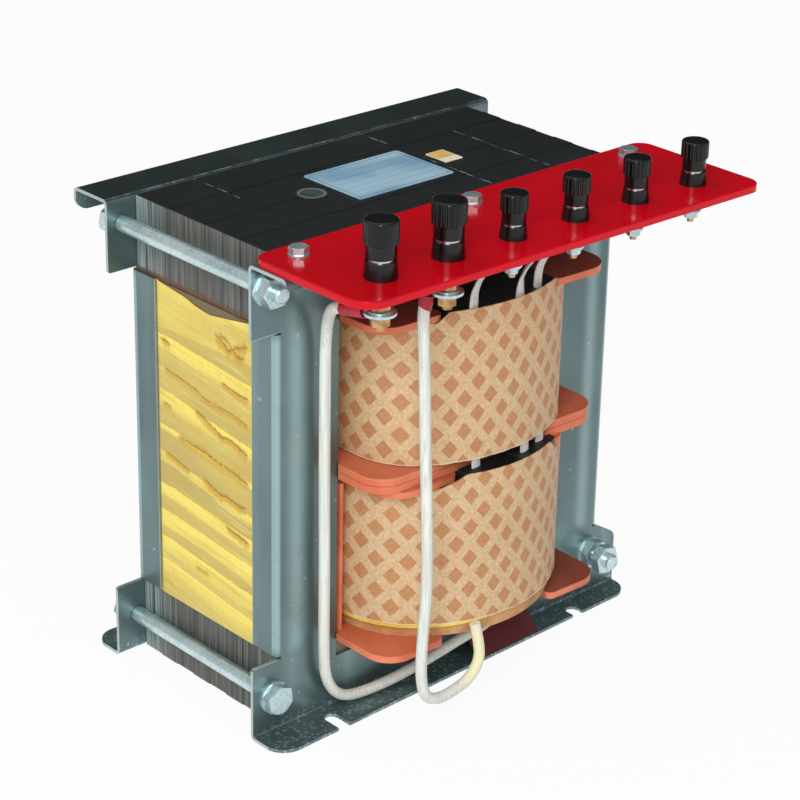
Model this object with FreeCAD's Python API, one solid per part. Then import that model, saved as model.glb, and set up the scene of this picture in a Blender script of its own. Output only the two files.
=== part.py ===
import FreeCAD, Part
import math
import os

from FreeCAD import Vector

# A dry-type lamp transformer: a shell-type core of crossed iron strips, two coils on the
# centre leg, a pressed frame on the front and on the back, and a terminal board on top.
# Lengths are millimetres. X runs to the right, -Y to the front, Z up.
# The origin is in the middle of the four foot slots, on the surface the feet stand on.

# Iron core
leg_width = 44.0  # outer legs and yokes; the centre leg is twice as wide
window_width = 44.0
window_height = 211.0
stack_depth = 128.0
packet_count = 8  # strips are laid in packets, and every second packet is crossed
packet_relief = 0.25  # a crossed packet stands back by this
joint_gap = 0.15  # between strips that butt
core_floor_gap = 0.6
core_top_gap = 0.4

# Yellow tape round the outer legs
tape_wall = 0.5
tape_end_gap = 3.0  # bare iron between the tape and a yoke
tape_ridge = 0.3
tape_turns = 9
tape_slope = 11.5  # rise of a turn across the leg
tape_lap = 9.0  # width of the raised edge of each turn

# Pressed frames
sheet = 2.0
bend_radius = 1.5
ear_width = 18.0
lower_ear_height = 47.5
upper_ear_height = 45.3
left_ear = (0.0, 2.0)  # how far the ear's edge falls towards its tip, and the tip's radius
right_ear = (10.5, 8.0)
fold_depth = 22.0
fold_bend = 0.8  # inside radius where the fold leaves the web, and of the tape's corners
fold_relief = 1.5
shelf_depth = 30.0
front_lip = 6.5
rear_lip = 15.0
front_lip_corner = 5.0
rear_lip_corner = 9.0
foot_depth_left = 26.0
foot_depth_right = 16.3
foot_corner = 14.0
frame_window_side_gap = 0.5  # the frame's window is wider than the core's by this
frame_window_lap = 11.0  # yoke left bare above and below the core's window
slot_x = 102.5
slot_width = 9.0
slot_inset = 8.5  # from the front of the web to the slot's round end

# Tie bolts, M10: the left two run outside the core, the right two in notches of its edge
tie_left_low_out = 3.2  # from the outside of the fold
tie_left_high_out = 7.5
tie_right_in = 5.0  # from the core's edge
tie_left_low_z = 24.8
tie_left_high_drop = 16.0  # below the top of the frame
tie_right_low_z = 32.0
tie_right_high_drop = 30.0
tie_radius = 5.0
tie_hole_radius = 5.5
tie_notch_radius = 5.6
tie_flats = 17.0
tie_head = 6.4
tie_nut = 8.4
tie_thin_nut = 7.0  # each of the pair on the lower right bolt
tie_nut_space = 3.0
tie_end = 4.0
tie_washer_radius = 10.0
tie_washer_thick = 2.0

# Tube and plates that carry the coils
tube_gap = 0.4
tube_wall = 1.7
plate_hole_gap = 0.1
plate_side_gap = 1.5  # from a plate to the side of the window
plate_ear_out = 1.0  # a plate widens outside the frame, past the side of the window
plate_front = 103.0  # from the middle of the core to a plate's front, at its left
plate_front_slant = 3.0  # how much farther forward the front is at its right
top_plate_slant = 8.0
bottom_plate_front = 112.5
third_plate_front = 106.0
third_plate_slant = 5.0
third_plate_left = 80.5
third_plate_right = 61.0
plate_corner = 17.0
plate_bridge = 4.0  # strip left between the tube's hole and the open front
opening = (-43.5, 43.5)  # left and right of the open front
third_opening = (-31.0, 45.0)
top_plate_thick = 4.4
bottom_plate_thick = 4.5
upper_plate_thick = 5.0
spacer_plate_thick = 4.8
third_plate_thick = 4.3
plate_gap = 0.2
lower_coil_height = 97.5

# Coils: half width and half length, how far the straight sides reach, and the shoulder's radius
upper_coil = (75.0, 118.5, 63.5, 48.5)
lower_coil = (79.2, 124.6, 58.5, 58.0)
paper_wall = 0.8
yellow_wall = 2.6
tan_wall = 0.8
upper_paper_lift = 2.5  # bottom edge of the paper above its plate
upper_paper_rise = 2.0  # top edge of the paper above the top plate, in the open front
upper_tongue = (-49.5, -43.0, 42.9, 42.9)  # the raised edge's foot and head, left; head and foot, right
lower_paper_lift = 9.5
yellow_show = 1.2
lower_paper_rise = 4.6
lower_tongue = (-50.0, -33.0, 35.0, 45.5)
tape_top_drop = 1.5  # black winding below the paper's top edge
strip_thick = 2.5
strip_half_depth = 66.5
strip_side_gap = 1.1

# Terminal board
board_left = 151.0
board_right = 157.5
board_back = 64.6
board_front_left = 158.5
board_front_right = 164.0
board_thick = 4.5
board_left_corner = 16.0
board_right_corner = 10.0
board_rear_corner = 10.0
board_bolt_x = 130.0
board_bolt_y = 80.0
board_bolt_radius = 3.0
board_hole_radius = 3.3
board_bolt_flats = 10.0
board_bolt_head = 4.0
board_bolt_nut = 5.0
board_bolt_end = 2.0
board_washer_radius = 6.2
board_washer_thick = 1.2

# Binding posts: two large and four small, in a row
post_first = (-117.2, 132.4)
post_step = (48.2, 1.1)
large_post = dict(
    stud=3.0, pitch=1.0, base_low=9.5, base_top=8.7, base_height=10.0,
    washer=7.6, washer_thick=1.6, skirt=8.6, skirt_height=7.7, cap=9.9, cap_height=14.4,
    flutes=24, crown=1.5, collar=8.0, collar_height=7.4, ring=7.0, under_washer=9.2, under_thick=1.6,
    spring=5.2, spring_thick=1.4, nut_flats=10.0, nut=5.2,
)
small_post = dict(
    stud=2.0, pitch=0.7, base_low=8.1, base_top=7.1, base_height=7.9,
    washer=6.2, washer_thick=1.2, skirt=6.9, skirt_height=6.7, cap=8.1, cap_height=11.2,
    flutes=20, crown=1.2, collar=6.6, collar_height=7.2, ring=5.8, under_washer=5.0, under_thick=1.0,
    spring=0.0, spring_thick=0.0, nut_flats=7.0, nut=3.2,
)
posts = [large_post, large_post, small_post, small_post, small_post, small_post]
cap_roof = 3.0  # solid top of a cap above its thread
cap_seat_gap = 0.05
thread_clearance = 0.05
stud_end = 2.4
ring_thick = 1.0
flute_radius = 0.8
cap_dome = 0.6  # how much the middle of a cap's top stands above its edge
spring_gap = 0.8

# Leads
sleeve_radius = 3.4
tap_width = 6.8
tap_thick = 2.2
tap_low_x = [-21.0, 16.0, 33.0]
tap_high_x = [-27.0, 7.0, 26.0]
tap_post = ("third", "fourth", "fourth")
tap_over_ring = (False, True, False)  # the lead's end lies on the ring, or under it
post_names = ("first", "second", "third", "fourth", "fifth", "sixth")
tap_slot_gap = 0.2
lug_width = 5.0
lug_gap = 0.2
upright_lug_gap = 1.2  # where the tongue turns down beside the washer
boot_gap = 0.05
boot_below = 4.5  # a boot's reach back over the sleeve
boot_mouth = 4.1
boots = (dict(above=11.2, far=4.9), dict(above=4.9, far=4.6))  # reach past the sleeve's end, far radius
lead_side = 16.4  # from the side of the window to the first lead

# Labels and the red sheet on the front foot
label_thick = 0.3
rating_size = (75.0, 52.0)
round_label_past = 8.5  # past the centre leg's side
round_label_radius = 9.3
small_label_past = 9.0
small_label_size = (14.5, 19.0)
foot_sheet_left = 12.0
foot_sheet_width = 54.0
foot_sheet_thick = 0.5
foot_sheet_rise = 0.88  # per millimetre towards the web, on which the sheet leans

# Places that follow from the sizes above
core_half_width = 2 * leg_width + window_width
core_half_depth = stack_depth / 2
window_bottom = core_floor_gap + leg_width
window_top = window_bottom + window_height
core_top = window_top + leg_width
frame_top = core_top + core_top_gap
web_in = core_half_depth + tape_wall
web_out = web_in + sheet
fold_in = core_half_width + tape_wall
fold_out = fold_in + sheet
ear_x = fold_out + ear_width
shelf_y = web_out + shelf_depth
foot_y = web_out + max(foot_depth_left, foot_depth_right)
slot_y = web_out + slot_inset + slot_width / 2
tie_places = [
    (-fold_out - tie_left_low_out, tie_left_low_z),
    (-fold_out - tie_left_high_out, frame_top - tie_left_high_drop),
    (core_half_width - tie_right_in, tie_right_low_z),
    (core_half_width - tie_right_in, frame_top - tie_right_high_drop),
]
tube_x = leg_width + tube_gap
tube_y = core_half_depth + tube_gap
tube_out_x = tube_x + tube_wall
tube_out_y = tube_y + tube_wall
plate_half_width = leg_width + window_width - plate_side_gap
plate_ear_half_width = leg_width + window_width + plate_ear_out
bottom_plate_z = window_bottom + plate_gap
lower_coil_z = bottom_plate_z + bottom_plate_thick + plate_gap
third_plate_z = lower_coil_z + lower_coil_height + plate_gap
spacer_plate_z = third_plate_z + third_plate_thick + plate_gap
upper_plate_z = spacer_plate_z + spacer_plate_thick + plate_gap
upper_coil_z = upper_plate_z + upper_plate_thick + plate_gap
top_plate_z = window_top - plate_gap - top_plate_thick
upper_coil_height = top_plate_z - plate_gap - upper_coil_z
board_top = frame_top + board_thick
lamination_height = core_top - core_floor_gap


def box(x0, y0, z0, x1, y1, z1):
    """A box between two corners."""
    return Part.makeBox(x1 - x0, y1 - y0, z1 - z0, Vector(x0, y0, z0))


def cylinder(x, y, z, radius, height, direction=Vector(0, 0, 1)):
    return Part.makeCylinder(radius, height, Vector(x, y, z), direction)


def rounded_face(corners):
    """A flat face from corners given as (point, radius)."""
    count = len(corners)
    starts = []
    ends = []
    middles = []
    for i in range(count):
        point, radius = corners[i]
        before = (corners[i - 1][0] - point).normalize()
        after = (corners[(i + 1) % count][0] - point).normalize()
        if radius <= 0:
            starts.append(point)
            ends.append(point)
            middles.append(None)
            continue
        half = before.getAngle(after) / 2
        reach = radius / math.tan(half)
        inward = (before + after).normalize()
        centre = point + inward * (radius / math.sin(half))
        starts.append(point + before * reach)
        ends.append(point + after * reach)
        middles.append(centre - inward * radius)
    edges = []
    for i in range(count):
        if middles[i] is not None:
            edges.append(Part.Arc(starts[i], middles[i], ends[i]).toShape())
        following = starts[(i + 1) % count]
        if (following - ends[i]).Length > 1e-6:
            edges.append(Part.LineSegment(ends[i], following).toShape())
    return Part.Face(Part.Wire(edges))


def rounded_plate(x0, y0, x1, y1, z, thick, radii):
    """A plate with its own radius at each corner, from front left round to back left."""
    points = [Vector(x0, y0, z), Vector(x1, y0, z), Vector(x1, y1, z), Vector(x0, y1, z)]
    face = rounded_face(list(zip(points, radii)))
    return face.extrude(Vector(0, 0, thick))


def hexagon(x, y, z, flats, height, direction, turn=0.0):
    """A hexagonal prism that grows along the direction from (x, y, z)."""
    radius = flats / math.sqrt(3)
    side = Vector(0, 0, 1) if abs(direction.z) < 0.5 else Vector(1, 0, 0)
    other = direction.cross(side)
    start = Vector(x, y, z)
    corners = []
    for i in range(7):
        angle = math.radians(60 * i + turn)
        corners.append(start + side * (radius * math.cos(angle)) + other * (radius * math.sin(angle)))
    prism = Part.Face(Part.makePolygon(corners)).extrude(direction * height)
    return prism


def chamfered_hexagon(x, y, z, flats, height, direction, turn=0.0, both=False):
    """A hexagonal prism whose outer corners are turned down to a cone."""
    prism = hexagon(x, y, z, flats, height, direction, turn)
    edge = flats / 2 * 0.98
    start = Vector(x, y, z)
    top = prism.common(Part.makeCone(edge + height * 3.0, edge, height, start, direction))
    if not both:
        return top
    back = start + direction * height
    return top.common(Part.makeCone(edge + height * 3.0, edge, height, back, direction * -1))


def save(name, shape):
    """Write one node's solids."""
    if isinstance(shape, list):
        shape = Part.makeCompound(shape)
    shape.exportStep(os.path.join("parts", name + ".step"))
    solids = len(shape.Solids)
    print("%-26s %d solid(s), %.1f cm3, valid %s" % (name, solids, shape.Volume / 1000, shape.isValid()))


def packet_spans():
    """Front and back of each packet of strips."""
    thick = stack_depth / packet_count
    for i in range(packet_count):
        y0 = -core_half_depth + i * thick
        yield i, y0 + joint_gap / 2, y0 + thick - joint_gap / 2


def build_core():
    """Legs and yokes: in one packet the centre leg runs through, in the next the outer legs do."""
    centre_half = leg_width
    inner = leg_width + window_width
    centre = []
    left = []
    right = []
    top = []
    bottom = []
    for i, y0, y1 in packet_spans():
        crossed = i % 2 == 1
        relief = packet_relief if crossed else 0.0
        low = core_floor_gap + relief
        high = core_top - relief
        side = core_half_width - relief
        gap = joint_gap / 2
        if crossed:
            centre.append(box(-centre_half, y0, window_bottom + gap, centre_half, y1, window_top - gap))
            left.append(box(-side, y0, low, -inner - gap, y1, high))
            right.append(box(inner + gap, y0, low, side, y1, high))
            bottom.append(box(-inner + gap, y0, low, inner - gap, y1, window_bottom - gap))
            top.append(box(-inner + gap, y0, window_top + gap, inner - gap, y1, high))
            continue
        centre.append(box(-centre_half, y0, low, centre_half, y1, high))
        left.append(box(-side, y0, window_bottom + gap, -inner, y1, window_top - gap))
        right.append(box(inner, y0, window_bottom + gap, side, y1, window_top - gap))
        for x0, x1 in ((-side, -centre_half - gap), (centre_half + gap, side)):
            bottom.append(box(x0, y0, low, x1, y1, window_bottom - gap))
            top.append(box(x0, y0, window_top + gap, x1, y1, high))
    save("centre_leg_strips", centre)
    save("left_leg_strips", left)
    notches = [edge_notch(x, z) for x, z in tie_places[2:]]
    save("right_leg_strips", [strip.cut(notches) for strip in right])
    save("top_yoke_strips", [strip.cut(notches) for strip in top])
    save("bottom_yoke_strips", [strip.cut(notches) for strip in bottom])


def edge_notch(x, z):
    """Room for a tie bolt at the core's right edge, open to the side."""
    reach = core_half_depth + 1
    radius = tie_notch_radius
    round_end = cylinder(x, -reach, z, radius, 2 * reach, Vector(0, 1, 0))
    return round_end.fuse(box(x, -reach, z - radius, core_half_width + 1, reach, z + radius))


def leg_tape(side):
    """One leg's tape: a closed wrap whose slanting turns stand out on the open side."""
    z0 = window_bottom + tape_end_gap
    z1 = window_top - tape_end_gap
    inner = leg_width + window_width
    ring = rounded_plate(
        inner - tape_wall, -web_in, core_half_width + tape_wall, web_in, z0, z1 - z0, [fold_bend] * 4,
    )
    ring = ring.cut(box(inner, -core_half_depth, z0, core_half_width, core_half_depth, z1))
    face_x = core_half_width + tape_wall
    half = web_out - fold_depth - 1.0
    pitch = (z1 - z0) / tape_turns
    for i in range(tape_turns + 1):
        low = z0 + (i - 0.5) * pitch
        corners = [
            Vector(face_x, -half, low),
            Vector(face_x, half, low + tape_slope),
            Vector(face_x, half, low + tape_slope + tape_lap),
            Vector(face_x, -half, low + tape_lap),
            Vector(face_x, -half, low),
        ]
        turn = Part.Face(Part.makePolygon(corners)).extrude(Vector(tape_ridge, 0, 0))
        ring = ring.fuse(turn.common(box(face_x, -half, z0, face_x + tape_ridge, half, z1)))
    ring = ring.removeSplitter()
    if side < 0:
        ring = ring.mirror(Vector(0, 0, 0), Vector(1, 0, 0))
    return ring


def frame_profile(lip):
    """Section of a frame: web, shelf with its lip, and foot, drawn for the front."""
    outer = bend_radius + sheet
    corners = [
        (Vector(0, -web_in, frame_top), outer),
        (Vector(0, -shelf_y, frame_top), outer),
        (Vector(0, -shelf_y, frame_top - lip), 0),
        (Vector(0, -shelf_y + sheet, frame_top - lip), 0),
        (Vector(0, -shelf_y + sheet, frame_top - sheet), bend_radius),
        (Vector(0, -web_out, frame_top - sheet), bend_radius),
        (Vector(0, -web_out, sheet), bend_radius),
        (Vector(0, -foot_y, sheet), 0),
        (Vector(0, -foot_y, 0), 0),
        (Vector(0, -web_in, 0), outer),
    ]
    return rounded_face(corners)


def fold_profile(side):
    """Section of a side fold: a strip of web and the fold that lies on the leg."""
    outer = fold_bend + sheet
    back = -web_out + fold_depth
    start = side * (fold_out - 12.0)
    corners = [
        (Vector(start, -web_out, 0), 0),
        (Vector(side * fold_out, -web_out, 0), outer),
        (Vector(side * fold_out, back, 0), 0),
        (Vector(side * fold_in, back, 0), 0),
        (Vector(side * fold_in, -web_in, 0), fold_bend),
        (Vector(start, -web_in, 0), 0),
    ]
    return rounded_face(corners)


def corner_waste(point, along, across, radius, depth, thick):
    """What a corner of that radius loses, from the corner inwards."""
    centre = point + along * radius + across * radius
    square = Part.Face(Part.makePolygon([
        point - along - across,
        point + along * radius - across,
        point + along * radius + across * radius,
        point + across * radius - along,
        point - along - across,
    ]))
    disc = Part.Face(Part.Wire(Part.makeCircle(radius, centre, depth)))
    waste = square.cut(disc)
    return waste.extrude(depth * thick)


def trimmed(shape, room, outline, along):
    """A shape cut back to a rounded outline inside the given room."""
    keep = rounded_face(outline).extrude(along)
    return shape.cut(room.cut(keep))


def trimmed_foot(frame):
    """The foot's front edge runs at a slant, with large corners."""
    back = -web_out + 1.0
    outline = [
        (Vector(-ear_x, back, -1), 0),
        (Vector(-ear_x, -web_out - foot_depth_left, -1), foot_corner),
        (Vector(ear_x, -web_out - foot_depth_right, -1), foot_corner),
        (Vector(ear_x, back, -1), 0),
    ]
    room = box(-ear_x - 1, -foot_y - 1, -1, ear_x + 1, back, sheet + 1)
    return trimmed(frame, room, outline, Vector(0, 0, sheet + 2))


def trimmed_ear(frame, side, edge, up, drop, radius):
    """An ear's inner edge falls towards the tip; up is -1 for a lower ear and 1 for an upper one."""
    y = -web_in + 1.0
    reach = min(lower_ear_height, upper_ear_height) / 2
    near = side * (fold_out - 1.0)
    start = side * (fold_out + 1.0)
    tip = side * ear_x
    deep = edge + up * reach
    outline = [
        (Vector(near, y, deep), 0),
        (Vector(tip, y, deep), 0),
        (Vector(tip, y, edge + up * drop), radius),
        (Vector(start, y, edge), 0),
        (Vector(near, y, edge), 0),
    ]
    x0, x1 = sorted((near, tip + side))
    z0, z1 = sorted((edge - up, deep))
    room = box(x0, -web_out - 1, z0, x1, y, z1)
    return trimmed(frame, room, outline, Vector(0, -sheet - 2, 0))


def build_frame(lip, lip_corner):
    """A pressed frame, drawn as the front one."""
    frame = frame_profile(lip).extrude(Vector(2 * ear_x, 0, 0))
    frame.translate(Vector(-ear_x, 0, 0))
    low = lower_ear_height
    high = frame_top - upper_ear_height
    reach = shelf_y + 1.0
    for side in (-1, 1):
        x0, x1 = sorted((side * (fold_out - 12.0), side * (ear_x + 1.0)))
        frame = frame.cut(box(x0, -reach, low, x1, 0, high))
    for side in (-1, 1):
        fold = fold_profile(side).extrude(Vector(0, 0, high - low))
        fold.translate(Vector(0, 0, low))
        frame = frame.fuse(fold)
        relief_x = side * (fold_in - bend_radius)
        x0, x1 = sorted((relief_x, side * (fold_out + 0.6)))
        frame = frame.cut(box(x0, -web_out - 1, low, x1, 0, low + fold_relief))
        frame = frame.cut(box(x0, -web_out - 1, high - fold_relief, x1, 0, high))
    window_x = leg_width + window_width + frame_window_side_gap
    window_low = window_bottom - frame_window_lap
    window_high = window_top + frame_window_lap
    frame = frame.cut(box(-window_x, -web_out - 1, window_low, window_x, 0, window_high))
    frame = trimmed_foot(frame)
    for side, (drop, radius) in ((-1, left_ear), (1, right_ear)):
        frame = trimmed_ear(frame, side, low, -1, drop, radius)
        frame = trimmed_ear(frame, side, high, 1, drop, radius)
        inwards = Vector(-side, 0, 0)
        back = Vector(0, 1, 0)
        start = Vector(side * ear_x, -shelf_y - 1, frame_top - lip)
        up = Vector(0, 0, 1)
        frame = frame.cut(corner_waste(start, inwards, up, lip_corner, back, sheet + 2))
        slot = cylinder(side * slot_x, -slot_y, -1, slot_width / 2, sheet + 2)
        mouth = box(
            side * slot_x - slot_width / 2, -foot_y - 1, -1,
            side * slot_x + slot_width / 2, -slot_y, sheet + 1,
        )
        frame = frame.cut(slot.fuse(mouth))
    for x, z in tie_places:
        frame = frame.cut(cylinder(x, 0, z, tie_hole_radius, web_out + 1.0, Vector(0, -1, 0)))
    return frame.removeSplitter()


def build_frames():
    front = build_frame(front_lip, front_lip_corner)
    for x in (-board_bolt_x, 0.0, board_bolt_x):
        front = front.cut(cylinder(x, -board_bolt_y, frame_top - 10, board_hole_radius, 20))
    save("front_frame", front)
    rear = build_frame(rear_lip, rear_lip_corner).mirror(Vector(0, 0, 0), Vector(0, 1, 0))
    save("rear_frame", rear)


def build_tie_bolts():
    """Four M10 bolts: the lower left one has its head in front, the lower right one two nuts."""
    bolts = []
    washers = []
    nuts = []
    face = web_out + tie_washer_thick
    single = [(0.0, tie_nut, 30.0)]
    double = [(0.0, tie_thin_nut, 15.0), (tie_thin_nut + tie_nut_space, tie_thin_nut, 15.0)]
    for index, (x, z) in enumerate(tie_places):
        way = Vector(0, 1, 0) if index == 0 else Vector(0, -1, 0)
        stack = double if index == 2 else single
        seat = -way.y * face
        length = 2 * face + stack[-1][0] + stack[-1][1] + tie_end
        shank = cylinder(x, seat, z, tie_radius, length, way)
        end = Vector(x, seat, z) + way * length
        tip = Part.makeCone(tie_radius, tie_radius - 1.0, 1.0, end, way)
        head = chamfered_hexagon(x, seat, z, tie_flats, tie_head, way * -1, 8.0)
        bolts.append(shank.fuse([tip, head]).removeSplitter())
        for start, height, turn in stack:
            y = -seat + way.y * start
            nut = chamfered_hexagon(x, y, z, tie_flats, height, way, turn, True)
            bore = cylinder(x, y, z, tie_radius + thread_clearance, height, way)
            nuts.append(nut.cut(bore))
        for start, out in ((-web_out, Vector(0, -1, 0)), (web_out, Vector(0, 1, 0))):
            disc = cylinder(x, start, z, tie_washer_radius, tie_washer_thick, out)
            hole = cylinder(x, start, z, tie_radius + 0.25, tie_washer_thick, out)
            washers.append(disc.cut(hole))
    save("tie_bolts", bolts)
    save("tie_bolt_washers", washers)
    save("tie_bolt_nuts", nuts)


def build_tube():
    z0 = window_bottom + plate_gap
    z1 = window_top - plate_gap
    tube = box(-tube_out_x, -tube_out_y, z0, tube_out_x, tube_out_y, z1)
    save("winding_tube", tube.cut(box(-tube_x, -tube_y, z0, tube_x, tube_y, z1)))


def coil_plate(z, thick, left, right, front, slant, gap):
    """A fibre plate round the tube, wider outside the frame; a gap gives its open front's sides."""
    narrow = plate_half_width
    outline = [
        (Vector(-left, -front, z), plate_corner),
        (Vector(right, -front - slant, z), plate_corner),
        (Vector(right, front + slant, z), plate_corner),
        (Vector(-left, front, z), plate_corner),
    ]
    plate = rounded_face(outline).extrude(Vector(0, 0, thick))
    step_y = web_out + 1.0
    for side in (-1, 1):
        x0, x1 = sorted((side * narrow, side * (plate_ear_half_width + 1)))
        plate = plate.cut(box(x0, -step_y, z, x1, step_y, z + thick))
    hole_x = tube_out_x + plate_hole_gap
    hole_y = tube_out_y + plate_hole_gap
    plate = plate.cut(box(-hole_x, -hole_y, z, hole_x, hole_y, z + thick))
    if gap:
        y = hole_y + plate_bridge
        far = front + slant + 1
        for y0, y1 in ((-far, -y), (y, far)):
            plate = plate.cut(box(gap[0], y0, z, gap[1], y1, z + thick))
        corners = [edge for edge in plate.Edges if is_opening_corner(edge, gap, front - 1)]
        plate = plate.makeFillet(plate_corner / 4, corners)
    return plate


def is_opening_corner(edge, gap, reach):
    """True for the upright edges where an ear meets the open front."""
    if len(edge.Vertexes) != 2:
        return False
    low, high = edge.Vertexes[0].Point, edge.Vertexes[1].Point
    upright = abs(low.x - high.x) < 1e-6 and abs(low.y - high.y) < 1e-6
    beside = min(abs(low.x - x) for x in gap) < 1e-6
    return upright and beside and abs(low.y) > reach


def build_plates():
    wide = plate_ear_half_width
    front = plate_front
    slant = plate_front_slant
    top = coil_plate(top_plate_z, top_plate_thick, wide, wide, front, top_plate_slant, opening)
    save("top_flange_plate", top)
    upper = coil_plate(upper_plate_z, upper_plate_thick, wide, wide, front, slant, None)
    save("upper_coil_lower_plate", upper)
    middle = coil_plate(spacer_plate_z, spacer_plate_thick, wide, wide, front, slant, None)
    save("middle_spacer_plate", middle)
    third = coil_plate(
        third_plate_z, third_plate_thick, third_plate_left, third_plate_right,
        third_plate_front, third_plate_slant, third_opening,
    )
    save("lower_coil_upper_plate", third)
    bottom = coil_plate(
        bottom_plate_z, bottom_plate_thick, wide, wide, bottom_plate_front, slant, opening,
    )
    save("bottom_flange_plate", bottom)


def coil_arcs(coil, inset):
    """Radii and centres of a coil's shoulder arc and front arc, with an inset all round."""
    half_width, half_length, straight, shoulder = coil
    bulge = half_length - straight
    front = (half_width ** 2 - 2 * half_width * shoulder + bulge ** 2) / (2 * (bulge - shoulder))
    shoulder_centre = Vector(half_width - shoulder, straight, 0)
    front_centre = Vector(0, half_length - front, 0)
    return shoulder - inset, shoulder_centre, front - inset, front_centre


def bulge_y(x, coil, inset):
    """Front of a coil at x, measured forward from the middle of the core."""
    shoulder, shoulder_centre, front, front_centre = coil_arcs(coil, inset)
    way = (shoulder_centre - front_centre).normalize()
    if abs(x) <= front * way.x:
        return front_centre.y + math.sqrt(front ** 2 - x ** 2)
    return shoulder_centre.y + math.sqrt(shoulder ** 2 - (abs(x) - shoulder_centre.x) ** 2)


def coil_block(coil, inset, z0, z1):
    """A solid drum: straight in the window, bulging to the front and to the back."""
    half_width, half_length, straight, _ = coil
    shoulder, shoulder_centre, front, front_centre = coil_arcs(coil, inset)
    way = (shoulder_centre - front_centre).normalize()
    turn = math.atan2(way.y, way.x)
    side = Vector(half_width - inset, straight, z0)
    mid_turn = turn / 2
    shoulder_mid = shoulder_centre + Vector(math.cos(mid_turn), math.sin(mid_turn), 0) * shoulder
    meet = front_centre + way * front
    edges = []
    for y_sign in (-1, 1):
        for x_sign in (-1, 1):
            flip = [Vector(p.x * x_sign, p.y * y_sign, z0) for p in (side, shoulder_mid, meet)]
            edges.append(Part.Arc(*flip).toShape())
        left = Vector(-meet.x, meet.y * y_sign, z0)
        top = Vector(0, (half_length - inset) * y_sign, z0)
        right = Vector(meet.x, meet.y * y_sign, z0)
        edges.append(Part.Arc(left, top, right).toShape())
    for x_sign in (-1, 1):
        low = Vector(side.x * x_sign, -straight, z0)
        high = Vector(side.x * x_sign, straight, z0)
        edges.append(Part.LineSegment(low, high).toShape())
    wire = Part.Wire(Part.__sortEdges__(edges))
    return Part.Face(wire).extrude(Vector(0, 0, z1 - z0))


def opening_blocks(gap, y, z0, z1):
    """The open middle of the front and of the back, where a coil stands higher."""
    x0 = gap[0] + 0.5
    x1 = gap[1] - 0.6
    far = lower_coil[1] + 10
    return box(x0, -far, z0, x1, -y, z1).fuse(box(x0, y, z0, x1, far, z1))


def tongue_blocks(tongue, y, z0, z1, top):
    """Room for a paper's raised edge, which may slope at its ends."""
    far = lower_coil[1] + 10
    corners = [
        Vector(tongue[0], 0, z0),
        Vector(tongue[0], 0, z1),
        Vector(tongue[1], 0, top),
        Vector(tongue[2], 0, top),
        Vector(tongue[3], 0, z1),
        Vector(tongue[3], 0, z0),
        Vector(tongue[0], 0, z0),
    ]
    prism = Part.Face(Part.makePolygon(corners)).extrude(Vector(0, far - y, 0))
    front = prism.translated(Vector(0, -far, 0))
    rear = prism.translated(Vector(0, y, 0))
    return front.fuse(rear)


def layer(coil, outer, inner, z0, z1):
    """One wrapped layer of a coil between two insets from its outside."""
    return coil_block(coil, outer, z0, z1).cut(coil_block(coil, inner, z0, z1))


def tube_block(z0, z1):
    return box(-tube_out_x, -tube_out_y, z0, tube_out_x, tube_out_y, z1)


def tap_y(low_x, high_x):
    """Middle of a flat lead under the upper coil's paper, measured forward."""
    edge = max(abs(low_x), abs(high_x)) + tap_width / 2 + tap_slot_gap
    return bulge_y(edge, upper_coil, paper_wall) - tap_thick / 2 - tap_slot_gap


def tap_slots(z0, z1):
    """Slots in the upper coil, under its paper, where the three flat leads rise."""
    slots = []
    for low_x, high_x in zip(tap_low_x, tap_high_x):
        y = tap_y(low_x, high_x)
        half = tap_width / 2 + tap_slot_gap
        depth = tap_thick / 2 + tap_slot_gap
        x0 = min(low_x, high_x) - half
        x1 = max(low_x, high_x) + half
        slots.append(box(x0, -upper_coil[1] - 1, z0, x1, -y + depth, z1))
    return slots


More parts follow.
